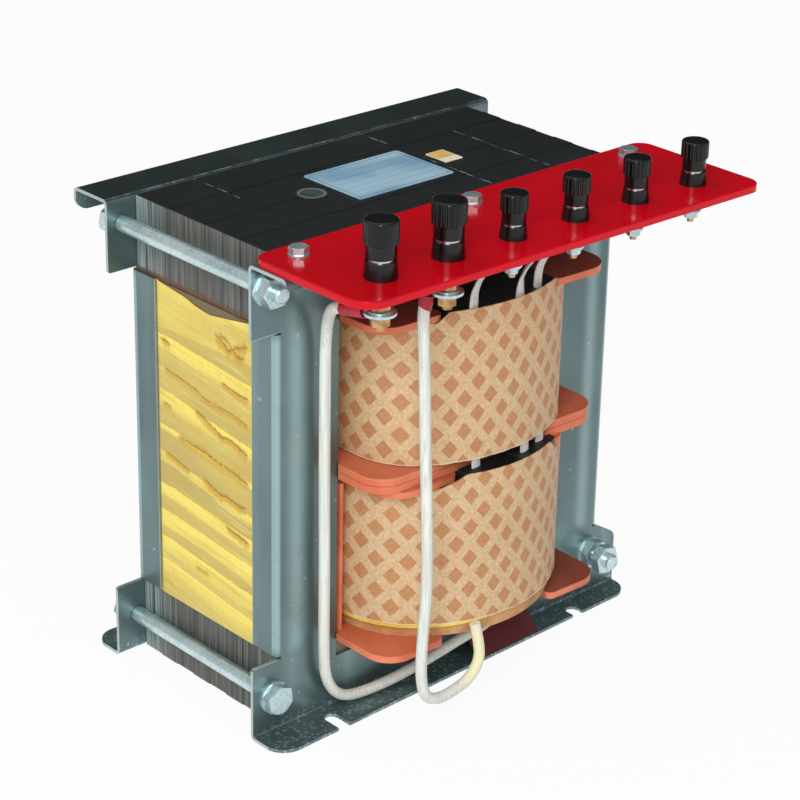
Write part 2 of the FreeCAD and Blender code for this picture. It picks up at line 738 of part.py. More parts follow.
def build_coils():
    coil = upper_coil
    z0 = upper_coil_z
    z1 = z0 + upper_coil_height
    rise = top_plate_z + top_plate_thick + upper_paper_rise
    notch = tube_out_y + plate_bridge + 1.0
    core = coil_block(coil, paper_wall, z0, z1)
    tall = coil_block(coil, paper_wall, z1 - 1, rise - tape_top_drop)
    core = core.fuse(tall.common(opening_blocks(opening, notch, z1 - 1, rise)))
    core = core.cut(tube_block(z0, z1))
    save("upper_winding", core.cut(tap_slots(z0, rise)).removeSplitter())
    paper = layer(coil, 0.0, paper_wall, z0 + upper_paper_lift, z1)
    tongue = layer(coil, 0.0, paper_wall, z1 - 1, rise)
    tongue = tongue.common(tongue_blocks(upper_tongue, notch, z1 - 1, z1, rise))
    save("upper_paper_wrap", paper.fuse(tongue).removeSplitter())

    coil = lower_coil
    z0 = lower_coil_z
    z1 = z0 + lower_coil_height
    rise = z1 + plate_gap + third_plate_thick + lower_paper_rise
    clear = plate_front + plate_front_slant + 1.0
    tan_in = paper_wall + yellow_wall + tan_wall
    core = coil_block(coil, tan_in, z0, z1)
    tall = coil_block(coil, paper_wall, z1, rise - tape_top_drop)
    tall = tall.common(opening_blocks(third_opening, clear, z1, rise))
    step = coil_block(coil, tan_in, z1, z1 + plate_gap + third_plate_thick)
    step = step.common(opening_blocks(third_opening, notch, z1, rise))
    core = core.fuse([tall, step]).cut(tube_block(z0, z1))
    save("lower_winding", core.removeSplitter())
    save("lower_tan_wrap", layer(coil, paper_wall + yellow_wall, tan_in, z0, z1))
    low = z0 + lower_paper_lift
    save("lower_yellow_wrap", layer(coil, paper_wall, paper_wall + yellow_wall, low - yellow_show, z1))
    paper = layer(coil, 0.0, paper_wall, low, z1)
    tongue = layer(coil, 0.0, paper_wall, z1 - 1, rise)
    tongue = tongue.common(tongue_blocks(lower_tongue, clear, z1 - 1, z1, rise))
    save("lower_paper_wrap", paper.fuse(tongue).removeSplitter())
    strips = []
    inner = leg_width + window_width - tape_wall - strip_side_gap - strip_thick
    for side in (-1, 1):
        x0, x1 = sorted((side * inner, side * (inner + strip_thick)))
        strips.append(box(x0, -strip_half_depth, z0, x1, strip_half_depth, z1))
    save("side_strips", strips)


def post_place(index):
    """X and Y of a binding post."""
    return post_first[0] + index * post_step[0], -post_first[1] - index * post_step[1]


def build_board():
    z = frame_top
    outline = [
        (Vector(-board_left, -board_front_left, z), board_left_corner),
        (Vector(board_right, -board_front_right, z), board_right_corner),
        (Vector(board_right, -board_back, z), board_rear_corner),
        (Vector(-board_left, -board_back, z), board_rear_corner),
    ]
    board = rounded_face(outline).extrude(Vector(0, 0, board_thick))
    rim = max(board.Faces, key=lambda face: face.CenterOfMass.z)
    board = board.makeFillet(0.8, rim.Edges)
    for x in (-board_bolt_x, 0.0, board_bolt_x):
        board = board.cut(cylinder(x, -board_bolt_y, z, board_hole_radius, board_thick))
    for index, post in enumerate(posts):
        x, y = post_place(index)
        board = board.cut(cylinder(x, y, z, post["stud"] + thread_clearance, board_thick))
    save("terminal_board", board)


def build_board_fasteners():
    bolts = []
    washers = []
    nuts = []
    up = Vector(0, 0, 1)
    y = -board_bolt_y
    under = frame_top - sheet
    seat = board_top + board_washer_thick
    nut_top = under - board_washer_thick
    for x in (-board_bolt_x, 0.0, board_bolt_x):
        length = seat - nut_top + board_bolt_nut + board_bolt_end
        shank = cylinder(x, y, seat - length, board_bolt_radius, length)
        head = chamfered_hexagon(x, y, seat, board_bolt_flats, board_bolt_head, up, 20.0)
        bolts.append(shank.fuse(head).removeSplitter())
        nut = chamfered_hexagon(x, y, nut_top, board_bolt_flats, board_bolt_nut, up * -1, 5.0, True)
        bore = cylinder(x, y, nut_top, board_bolt_radius + thread_clearance, board_bolt_nut, up * -1)
        nuts.append(nut.cut(bore))
        for z in (board_top, nut_top):
            disc = cylinder(x, y, z, board_washer_radius, board_washer_thick)
            washers.append(disc.cut(cylinder(x, y, z, board_bolt_radius + 0.2, board_washer_thick)))
    save("board_bolts", bolts)
    save("board_washers", washers)
    save("board_nuts", nuts)


def fluted_cap(post, z):
    """A knurled cap: smooth skirt, fluted grip and a crowned top, on the axis through zero."""
    skirt = post["skirt"]
    grip = post["cap"]
    neck = z + post["skirt_height"]
    top = neck + post["cap_height"]
    body = Part.makeCylinder(skirt, post["skirt_height"], Vector(0, 0, z))
    slope = grip - skirt
    flare = Part.makeCone(skirt, grip, slope * 0.6, Vector(0, 0, neck))
    barrel = Part.makeCylinder(grip, top - neck - slope * 0.6, Vector(0, 0, neck + slope * 0.6))
    ball = (grip ** 2 + cap_dome ** 2) / (2 * cap_dome)
    barrel = barrel.common(Part.makeSphere(ball, Vector(0, 0, top - ball)))
    rim = [edge for edge in barrel.Edges if edge.Closed and abs(edge.CenterOfMass.z - top + cap_dome) < 0.1]
    barrel = barrel.makeFillet(post["crown"], rim)
    cap = body.fuse([flare, barrel])
    grooves = []
    for i in range(post["flutes"]):
        angle = 2 * math.pi * (i + 0.5) / post["flutes"]
        place = Vector((grip + 0.25) * math.cos(angle), (grip + 0.25) * math.sin(angle), neck)
        grooves.append(Part.makeCylinder(flute_radius, top - neck + 1, place))
    cap = cap.cut(Part.makeCompound(grooves))
    bore = Part.makeCylinder(post["stud"] + thread_clearance, top - z - cap_roof, Vector(0, 0, z))
    return cap.cut(bore)


def ring_low(post):
    """Underside of a terminal ring, which hangs below the post's lower collar, washer and nut."""
    return frame_top - post["collar_height"] - post["under_thick"] - post["nut"] - ring_thick


def split_washer(x, y, top, radius, bore, thick, turn):
    """A spring washer: a ring with a narrow slanting gap."""
    ring = cylinder(x, y, top - thick, radius, thick).cut(cylinder(x, y, top - thick, bore, thick))
    gap = box(0, -spring_gap / 2, top - thick, radius + 1, spring_gap / 2, top)
    gap.rotate(Vector(0, 0, 0), Vector(0, 0, 1), turn)
    return ring.cut(gap.translated(Vector(x, y, 0)))


def build_posts():
    """Binding posts: collars, stud, pressure washer and cap, and the stack under the board."""
    groups = dict(large_post_bases=[], small_post_bases=[], large_post_studs=[], small_post_studs=[])
    under_washers = []
    nuts = dict(large=[], small=[])
    rings = []
    down = Vector(0, 0, -1)
    for index, post in enumerate(posts):
        x, y = post_place(index)
        size = "large" if post is large_post else "small"
        stud_radius = post["stud"]
        tight = stud_radius + thread_clearance
        loose = stud_radius + 2 * thread_clearance
        base_top = board_top + post["base_height"]
        base = Part.makeCone(
            post["base_low"], post["base_top"], post["base_height"], Vector(x, y, board_top),
        )
        groups[size + "_post_bases"].append(base.cut(cylinder(x, y, board_top, tight, post["base_height"])))
        washer_z = base_top + cap_seat_gap
        washer = cylinder(x, y, washer_z, post["washer"], post["washer_thick"])
        washer = washer.cut(cylinder(x, y, washer_z, loose, post["washer_thick"]))
        save("post_%d_washer" % (index + 1), washer)
        cap_z = washer_z + post["washer_thick"]
        cap = fluted_cap(post, cap_z)
        cap.translate(Vector(x, y, 0))
        save("post_%d_cap" % (index + 1), cap)
        bore_top = cap_z + post["skirt_height"] + post["cap_height"] - cap_roof
        collar_low = frame_top - post["collar_height"]
        collar = cylinder(x, y, collar_low, post["collar"], post["collar_height"])
        groups[size + "_post_bases"].append(
            collar.cut(cylinder(x, y, collar_low, tight, post["collar_height"])))
        ring_z = ring_low(post)
        fixed_low = collar_low - post["under_thick"]
        washer_low = ring_z - post["under_thick"]
        for low in (fixed_low, washer_low):
            disc = cylinder(x, y, low, post["under_washer"], post["under_thick"])
            under_washers.append(disc.cut(cylinder(x, y, low, loose, post["under_thick"])))
        nut_top = washer_low - post["spring_thick"]
        if post["spring_thick"]:
            under_washers.append(split_washer(
                x, y, washer_low, post["spring"], loose, post["spring_thick"], 100.0 + 60.0 * index))
        for top, turn in ((fixed_low, 17.0 * index), (nut_top, 12.0 * index)):
            nut = chamfered_hexagon(x, y, top, post["nut_flats"], post["nut"], down, turn, True)
            nuts[size].append(nut.cut(cylinder(x, y, top, tight, post["nut"], down)))
        stud_low = nut_top - post["nut"] - stud_end
        stud_high = bore_top - 0.5
        groups[size + "_post_studs"].append(cylinder(x, y, stud_low, stud_radius, stud_high - stud_low))
        if size == "small":
            ring = cylinder(x, y, ring_z, post["ring"], ring_thick)
            rings.append(ring.cut(cylinder(x, y, ring_z, loose, ring_thick)))
    for name, solids in groups.items():
        save(name, solids)
    save("post_under_washers", under_washers)
    save("post_nuts_large", nuts["large"])
    save("post_nuts_small", nuts["small"])
    save("post_rings", rings)


def rounded_route(points):
    """Straight runs joined by arcs: each arc is as large as its two runs allow."""
    edges = []
    radii = []
    start = points[0]
    for i in range(1, len(points) - 1):
        point = points[i]
        before = points[i - 1] - point
        after = points[i + 1] - point
        shorter = min(before.Length, after.Length)
        turn = math.pi - before.getAngle(after)
        reach = 0.45 * shorter
        radius = reach / math.tan(turn / 2)
        radii.append(radius)
        before.normalize()
        after.normalize()
        inward = (before + after).normalize()
        first = point + before * reach
        last = point + after * reach
        centre = point + inward * math.hypot(radius, reach)
        middle = centre - inward * radius
        edges.append(Part.LineSegment(start, first).toShape())
        edges.append(Part.Arc(first, middle, last).toShape())
        start = last
    edges.append(Part.LineSegment(start, points[-1]).toShape())
    return Part.Wire(edges), radii


def sleeve_tube(name, points):
    """A sleeved lead of one diameter along its route."""
    wire, radii = rounded_route(points)
    start = points[0]
    way = (points[1] - points[0]).normalize()
    ring = Part.Wire(Part.makeCircle(sleeve_radius, start, way))
    tube = wire.makePipeShell([ring], True, False)
    expected = math.pi * sleeve_radius ** 2 * wire.Length
    tightest = min(radii)
    print("%s length %.1f, volume ratio %.4f, tightest radius %.1f" % (
        name, wire.Length, tube.Volume / expected, tightest))
    print("  radii", " ".join("%.0f" % radius for radius in radii))
    return tube


def long_left_route():
    """From under the lower coil, along the front foot, up beside the window to the first post."""
    x = -leg_width - window_width - lead_side
    y = -web_out - sleeve_radius - 4.0
    floor = sheet + sleeve_radius + 0.2
    coil_x, coil_y, coil_z = 11.0, 23.6 - lower_coil[1], lower_coil_z
    post_x, post_y = post_place(0)
    ring = ring_low(large_post)
    last = Vector(post_x, post_y, ring)
    before = Vector(post_x - 6.7, post_y + 27.8, ring - 4.8)
    end = before + (last - before).normalize() * 8.0
    return [
        Vector(coil_x, coil_y, coil_z - 0.4),
        Vector(coil_x - 0.4, coil_y + 0.4, coil_z - 8.5),
        Vector(coil_x - 6.0, coil_y + 5.0, coil_z - 16.5),
        Vector(coil_x - 16.0, coil_y + 12.0, coil_z - 23.9),
        Vector(coil_x - 31.0, coil_y + 19.0, floor + 10.8),
        Vector(x + 62.4, y - 2.1, floor + 2.4),
        Vector(x + 36.4, y, floor),
        Vector(x + 13.4, y, floor + 3.4),
        Vector(x + 0.9, y, floor + 20.4),
        Vector(x + 0.2, y + 0.4, floor + 46.4),
        Vector(x, y, floor + 92.4),
        Vector(x - 0.3, y + 0.4, ring - 129.0),
        Vector(x - 0.7, y, ring - 75.0),
        Vector(x - 0.6, y, ring - 43.0),
        Vector(x - 2.2, y - 3.3, ring - 27.0),
        Vector(x - 8.0, y - 12.1, ring - 17.4),
        Vector(x - 15.6, y - 22.7, ring - 9.4),
        before,
        end,
    ]


def long_right_route():
    """From under the lower coil's paper, down in a loop and up in front to the second post."""
    x, _ = post_place(1)
    y = -lower_coil[1] - 1.6
    floor = sheet + sleeve_radius
    ring = ring_low(large_post)
    paper = lower_coil_z + lower_paper_lift - yellow_show
    return [
        Vector(x + 41.4, y + 4.2, paper - 0.2),
        Vector(x + 42.4, y + 1.6, paper - 10.8),
        Vector(x + 42.6, y, paper - 22.8),
        Vector(x + 35.0, y - 0.2, floor + 19.6),
        Vector(x + 22.0, y, floor + 15.2),
        Vector(x + 8.0, y + 0.2, floor + 14.2),
        Vector(x - 2.6, y, floor + 20.6),
        Vector(x - 5.8, y, floor + 36.6),
        Vector(x - 4.8, y + 0.3, floor + 58.6),
        Vector(x - 2.2, y, floor + 92.6),
        Vector(x - 3.4, y + 0.3, ring - 143.0),
        Vector(x - 6.4, y, ring - 97.0),
        Vector(x - 8.6, y - 0.2, ring - 53.0),
        Vector(x - 9.4, y + 0.3, ring - 29.0),
        Vector(x - 9.9, y + 1.1, ring - 15.0),
        Vector(x - 9.0, y + 0.3, ring - 7.0),
    ]


def build_long_leads():
    save("long_lead_left", sleeve_tube("long_lead_left", long_left_route()))
    save("long_lead_right", sleeve_tube("long_lead_right", long_right_route()))


def flat_strip(points, width):
    """A flat lead: a band of even thickness along a planar route, widened to both sides."""
    way = (points[-1] - points[0])
    way.z = 0
    side = way.normalize().cross(Vector(0, 0, 1))
    left = []
    right = []
    for i, point in enumerate(points):
        before = points[max(i - 1, 0)]
        after = points[min(i + 1, len(points) - 1)]
        along = (after - before).normalize()
        normal = along.cross(side).normalize()
        left.append(point + normal * (tap_thick / 2))
        right.append(point - normal * (tap_thick / 2))
    outline = left + list(reversed(right)) + [left[0]]
    face = Part.Face(Part.makePolygon(outline))
    band = face.extrude(side * width)
    band.translate(side * (-width / 2))
    return band


def build_tap_leads():
    """Three flat leads: up from the lower coil, under the upper coil's paper, to their posts."""
    low = lower_coil_z + lower_coil_height + plate_gap + third_plate_thick
    low = low + lower_paper_rise - tape_top_drop
    high = top_plate_z + top_plate_thick + upper_paper_rise
    for number, (low_x, high_x, name, over) in enumerate(zip(tap_low_x, tap_high_x, tap_post, tap_over_ring)):
        index = post_names.index(name)
        post = posts[index]
        y = -tap_y(low_x, high_x) - tap_thick / 2
        half = tap_width / 2
        corners = [
            Vector(low_x - half, y, low),
            Vector(low_x + half, y, low),
            Vector(high_x + half, y, high),
            Vector(high_x - half, y, high),
            Vector(low_x - half, y, low),
        ]
        rise = Part.Face(Part.makePolygon(corners)).extrude(Vector(0, tap_thick, 0))
        end_x, end_y = post_place(index)
        end_z = ring_low(post) - tap_thick / 2
        if over:
            end_z = ring_low(post) + ring_thick + tap_thick / 2 + 0.3
        start = Vector(high_x, y + tap_thick / 2, high)
        flat = Vector(end_x - start.x, end_y - start.y, 0)
        reach = flat.Length - post["under_washer"] - 0.4
        flat.normalize()
        up = end_z - start.z
        points = [start]
        for along, rise_share in ((0.0, 0.25), (0.12, 0.48), (0.34, 0.72), (0.62, 0.90), (1.0, 1.0)):
            points.append(start + flat * (reach * along) + Vector(0, 0, up * rise_share))
        lead = rise.fuse(flat_strip(points, tap_width)).removeSplitter()
        save("tap_lead_%d" % (number + 1), lead)


def build_lugs():
    """Ring lugs of the two long leads: a ring under its post's nut and a tongue to the sleeve."""
    lugs = []
    for index, route in enumerate((long_left_route(), long_right_route())):
        end = route[-1]
        way = (end - route[-2]).normalize()
        post = posts[index]
        x, y = post_place(index)
        flat = Vector(x - end.x, y - end.y, 0)
        distance = flat.Length
        flat.normalize()
        low = ring_low(post)
        top = low + ring_thick
        inner = distance - post["ring"] + 1.0
        if abs(way.z) > 0.5:
            bend = distance - post["under_washer"] - upright_lug_gap
            back = bend - ring_thick
            foot = end.z + 0.8
            outline = [(back, foot), (back, top), (inner, top), (inner, low), (bend, low), (bend, foot)]
        else:
            bend = distance - post["under_washer"] - lug_gap
            half = ring_thick / 2
            outline = [
                (lug_gap, end.z - half), (lug_gap, end.z + half), (bend, top),
                (inner, top), (inner, low), (bend, low),
            ]
        corners = [Vector(end.x, end.y, 0) + flat * along + Vector(0, 0, z) for along, z in outline]
        side = flat.cross(Vector(0, 0, 1))
        tongue = Part.Face(Part.makePolygon(corners + [corners[0]])).extrude(side * lug_width)
        tongue.translate(side * (-lug_width / 2))
        ring = cylinder(x, y, low, post["ring"], ring_thick)
        hole = cylinder(x, y, low, post["stud"] + 2 * thread_clearance, ring_thick)
        lugs.append(ring.fuse(tongue).cut(hole).removeSplitter())
    save("lead_lugs", lugs)


def build_boots():
    """A soft cone over the end of each long lead's sleeve and its lug."""
    shapes = []
    for route, boot in zip((long_left_route(), long_right_route()), boots):
        end = route[-1]
        way = (end - route[-2]).normalize()
        low = end - way * boot_below
        length = boot_below + boot["above"]
        cone = Part.makeCone(boot_mouth, boot["far"], length, low, way)
        shapes.append(cone.cut(Part.makeCylinder(sleeve_radius + boot_gap, length, low, way)))
    save("lead_boots", shapes)


def build_labels():
    z = core_top
    width, depth = rating_size
    plate = rounded_plate(-width / 2, -depth / 2, width / 2, depth / 2, z, label_thick, [2.0] * 4)
    save("rating_plate", plate)
    x = -leg_width - round_label_past
    save("round_sticker", cylinder(x, 0, z, round_label_radius, label_thick))
    width, depth = small_label_size
    x = leg_width + small_label_past
    sticker = rounded_plate(x - width / 2, -depth / 2, x + width / 2, depth / 2, z, label_thick, [1.0] * 4)
    save("small_sticker", sticker)


def build_foot_sheet():
    """A stiff sheet that stands on the front foot's edge and leans on the web."""
    foot_slope = (foot_depth_right - foot_depth_left) / (2 * ear_x)
    z = sheet + 0.05
    back = -web_out - 0.3
    low = []
    for x in (foot_sheet_left, foot_sheet_left + foot_sheet_width):
        front = -web_out - foot_depth_left - foot_slope * (x + ear_x) + 0.5
        low.append(Vector(x, front, z))
    depth = back - low[1].y
    lean = Vector(0, depth, depth * foot_sheet_rise)
    corners = [low[0], low[1], low[1] + lean, low[0] + lean, low[0]]
    normal = (low[1] - low[0]).cross(lean).normalize()
    face = Part.Face(Part.makePolygon(corners))
    save("foot_insulation", face.extrude(normal * foot_sheet_thick))


def main():
    os.makedirs("parts", exist_ok=True)
    build_core()
    save("left_leg_tape", leg_tape(-1))
    save("right_leg_tape", leg_tape(1))
    build_frames()
    build_tie_bolts()
    build_tube()
    build_plates()
    build_coils()
    build_board()
    build_board_fasteners()
    build_posts()
    build_long_leads()
    build_tap_leads()
    build_lugs()
    build_boots()
    build_labels()
    build_foot_sheet()


main()
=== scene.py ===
import math

import bpy
from mathutils import Matrix, Vector, noise


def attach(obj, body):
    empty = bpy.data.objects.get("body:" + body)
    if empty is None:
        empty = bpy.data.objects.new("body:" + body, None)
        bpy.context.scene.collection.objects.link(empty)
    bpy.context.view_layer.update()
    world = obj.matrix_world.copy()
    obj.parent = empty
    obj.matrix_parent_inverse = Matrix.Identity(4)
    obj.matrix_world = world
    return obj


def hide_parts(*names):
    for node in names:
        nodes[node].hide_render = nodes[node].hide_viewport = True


# A lamp transformer: the CAD solids carry everything, and this script gives them their looks.
# Metres, +X to the right as the board is faced, -Y to the front, +Z up.

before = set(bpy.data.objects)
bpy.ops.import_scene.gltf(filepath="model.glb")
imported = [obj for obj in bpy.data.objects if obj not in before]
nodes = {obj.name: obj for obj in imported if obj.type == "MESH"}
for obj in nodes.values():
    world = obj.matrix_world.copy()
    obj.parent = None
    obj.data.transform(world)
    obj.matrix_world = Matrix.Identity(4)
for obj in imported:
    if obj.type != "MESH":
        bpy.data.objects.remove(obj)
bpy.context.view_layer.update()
mainBody = "transformer"


def mm(*values):
    # a point written in millimetres
    return Vector(values) / 1000


def tint(code):
    # a colour as it is seen, turned into a linear one
    parts = [int(code[i:i + 2], 16) / 255 for i in (1, 3, 5)]
    linear = [c / 12.92 if c <= 0.04045 else ((c + 0.055) / 1.055) ** 2.4 for c in parts]
    return (*linear, 1.0)


# Camera

camera = {
    "lens": 117.27,
    "sensor": 36.0,
    "place": (-0.9826, -1.0876, 0.8156),
    "right": (0.741, -0.672, 0.019),
    "up": (0.264, 0.317, 0.911),
    "back": (-0.618, -0.670, 0.412),
}


def addCamera():
    data = bpy.data.cameras.new("camera")
    data.lens = camera["lens"]
    data.sensor_width = camera["sensor"]
    data.clip_start = 0.01
    shot = bpy.data.objects.new("camera", data)
    bpy.context.scene.collection.objects.link(shot)
    columns = [Vector(camera[key]) for key in ("right", "up", "back")]
    turn = Matrix(columns).transposed().to_4x4()
    turn.translation = Vector(camera["place"])
    place, rotation, _ = turn.decompose()
    shot.location = place
    shot.rotation_mode = "QUATERNION"
    shot.rotation_quaternion = rotation
    bpy.context.scene.camera = shot


addCamera()
print("camera set")


# Finishes: a small wrapper so that shader maths reads as arithmetic

class Value:
    def __init__(self, finish, socket):
        self.finish = finish
        self.socket = socket

    def math(self, operation, *others):
        return self.finish.node("Math", {"operation": operation}, [self, *others])

    def __add__(self, other):
        return self.math("ADD", other)

    def __radd__(self, other):
        return self.math("ADD", other)

    def __sub__(self, other):
        return self.math("SUBTRACT", other)

    def __rsub__(self, other):
        return self.finish.node("Math", {"operation": "SUBTRACT"}, [other, self])

    def __mul__(self, other):
        return self.math("MULTIPLY", other)

    def __rmul__(self, other):
        return self.math("MULTIPLY", other)

    def __truediv__(self, other):
        return self.math("DIVIDE", other)

    def __pow__(self, other):
        return self.math("POWER", other)

    def over(self, edge):
        return self.math("GREATER_THAN", edge)

    def under(self, edge):
        return self.math("LESS_THAN", edge)

    def least(self, other):
        return self.math("MINIMUM", other)

    def most(self, other):
        return self.math("MAXIMUM", other)

    def size(self):
        return self.math("ABSOLUTE")

    def part(self):
        return self.math("FRACT")

    def fade(self, low, high):
        # from 0 at low to 1 at high, smoothly, and flat outside
        settings = {"interpolation_type": "SMOOTHSTEP"}
        return self.finish.node("MapRange", settings, [self, low, high, 0.0, 1.0])


class Finish:
    def __init__(self, name, roughness=0.5, metallic=0.0, **sockets):
        self.material = bpy.data.materials.new(name)
        self.material.use_nodes = True
        self.tree = self.material.node_tree
        self.shader = self.tree.nodes["Principled BSDF"]
        self.put("Roughness", roughness)
        self.put("Metallic", metallic)
        for key, value in sockets.items():
            self.put(key.replace("_", " "), value)

    def node(self, kind, settings=None, values=(), out=0):
        made = self.tree.nodes.new("ShaderNode" + kind)
        for key, value in (settings or {}).items():
            setattr(made, key, value)
        pairs = values.items() if isinstance(values, dict) else enumerate(values)
        for key, value in pairs:
            self.feed(made.inputs[key], value)
        return Value(self, made.outputs[out])

    def feed(self, socket, value):
        if isinstance(value, Value):
            self.tree.links.new(value.socket, socket)
        else:
            socket.default_value = value

    def put(self, name, value):
        self.feed(self.shader.inputs[name], value)

    def point(self):
        return self.node("TexCoord", out="Object")

    def axes(self, vector):
        first = self.node("SeparateXYZ", None, [vector])
        parts = first.socket.node.outputs
        return [Value(self, parts[i]) for i in range(3)]

    def stretched(self, vector, scale):
        return self.node("Mapping", None, {"Vector": vector, "Scale": scale})

    def noise(self, vector, scale, detail=2.0, roughness=0.5, distortion=0.0):
        values = {"Vector": vector, "Scale": scale, "Detail": detail,
                  "Roughness": roughness, "Distortion": distortion}
        return self.node("TexNoise", None, values)

    def mix(self, factor, first, second):
        return self.node("Mix", {"data_type": "RGBA"}, {0: factor, 6: first, 7: second}, 2)

    def bump(self, height, distance, strength):
        values = {"Height": height, "Distance": distance, "Strength": strength}
        self.put("Normal", self.node("Bump", None, values))


def dress(finish, *names):
    # give CAD nodes their finish
    for name in names:
        mesh = nodes[name].data
        mesh.materials.clear()
        mesh.materials.append(finish.material)


def addPiece(obj, finish):
    obj.data.materials.clear()
    obj.data.materials.append(finish.material)
    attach(obj, mainBody)


# Long leads first: two sleeved leads whose both ends go into the object

# the stained end of the right lead, between these places
stain = {"x": (-0.046, -0.034), "z": (0.062, 0.052), "front": -0.118}


def makeSleeve():
    f = Finish("whiteSleeve", roughness=0.6, Specular_IOR_Level=0.3)
    p = f.point()
    streaks = f.noise(f.stretched(p, (1500, 1500, 30)), 1.0, 2.0)
    cloth = f.noise(p, 1700, 1.0)
    soil = f.noise(p, 30, 3.0)
    base = f.mix(streaks.fade(0.32, 0.62), tint("#CDD3CB"), tint("#ECEEE7"))
    base = f.mix(soil.fade(0.55, 0.8) * 0.25, base, tint("#D3D6C8"))
    x, y, z = f.axes(p)
    cream = x.fade(*stain["x"]) * z.fade(*stain["z"]) * y.under(stain["front"])
    base = f.mix(cream, base, tint("#F2EDC4"))
    f.put("Base Color", base)
    f.bump(streaks + cloth * 0.5, 0.00024, 0.6)
    return f


leadLeft = {
    "diameter": 0.0068,
    "length": 0.4236,
    "points": [
        (11.0, -101.0, 49.1), (10.6, -100.6, 41.0), (5.0, -96.0, 33.0), (-5.0, -89.0, 25.6),
        (-20.0, -82.0, 16.4), (-42.0, -76.0, 8.0), (-68.0, -73.9, 5.6), (-91.0, -73.9, 9.0),
        (-103.5, -73.9, 26.0), (-104.2, -73.5, 52.0), (-104.4, -73.9, 98.0),
        (-104.7, -73.5, 155.8), (-105.1, -73.9, 209.8), (-105.0, -73.9, 241.8),
        (-106.6, -77.2, 257.8), (-112.4, -86.0, 267.4), (-120.0, -96.6, 275.4),
        (-123.9, -104.6, 280.0), (-122.0, -112.4, 281.4),
    ],
}

leadRight = {
    "diameter": 0.0068,
    "length": 0.3264,
    "points": [
        (-27.6, -122.0, 57.6), (-26.6, -124.6, 47.0), (-26.4, -126.2, 35.0), (-34.0, -126.4, 25.0),
        (-47.0, -126.2, 20.6), (-61.0, -126.0, 19.6), (-71.6, -126.2, 26.0), (-74.8, -126.2, 42.0),
        (-73.8, -125.9, 64.0), (-71.2, -126.2, 98.0), (-72.4, -125.9, 141.8),
        (-75.4, -126.2, 187.8), (-77.6, -126.4, 231.8), (-78.4, -125.9, 255.8),
        (-78.9, -125.1, 269.8), (-78.0, -125.9, 277.8),
    ],
}


def routeCurve(name, points, steps):
    # a smooth line that starts at the first point and ends at the last
    curve = bpy.data.curves.new(name, "CURVE")
    curve.dimensions = "3D"
    curve.resolution_u = steps
    spline = curve.splines.new("NURBS")
    spline.points.add(len(points) - 1)
    for spot, place in zip(spline.points, points):
        spot.co = (*mm(*place), 1.0)
    spline.order_u = 3
    spline.use_endpoint_u = True
    return curve


def addLead(name, lead, finish, node):
    curve = routeCurve(name, lead["points"], 12)
    curve.bevel_depth = lead["diameter"] / 2
    curve.bevel_resolution = 5
    curve.use_fill_caps = True
    obj = bpy.data.objects.new(name, curve)
    bpy.context.scene.collection.objects.link(obj)
    addPiece(obj, finish)
    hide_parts(node)


sleeveFinish = makeSleeve()
addLead("sleeved_lead_left", leadLeft, sleeveFinish, "long_lead_left")
addLead("sleeved_lead_right", leadRight, sleeveFinish, "long_lead_right")
print("leads laid")


# Metals

# bends of the sheet, where highlights are painted: how far out, and the heights between which they run
bends = {"fold": 0.1335, "web": 0.1195, "low": (0.046, 0.056), "high": (0.257, 0.246), "front": 0.062}
# where the sheet was cut: a painted highlight, a little brighter than its faces
cuts = {"earX": 0.1523, "foldY": 0.0447, "foldX": 0.1322, "earZ": [0.0475, 0.2547], "earIn": 0.1338}
# the dark rail along the top at the back, painted dark as shade, and its two edges, painted with
# highlights
rail = {"from": 0.0655, "above": 0.2982, "outer": 0.0952, "inner": (0.0645, 0.0669), "top": 0.2995}
# the foot's spangle comes in between these heights
footHeight = (0.010, 0.004)


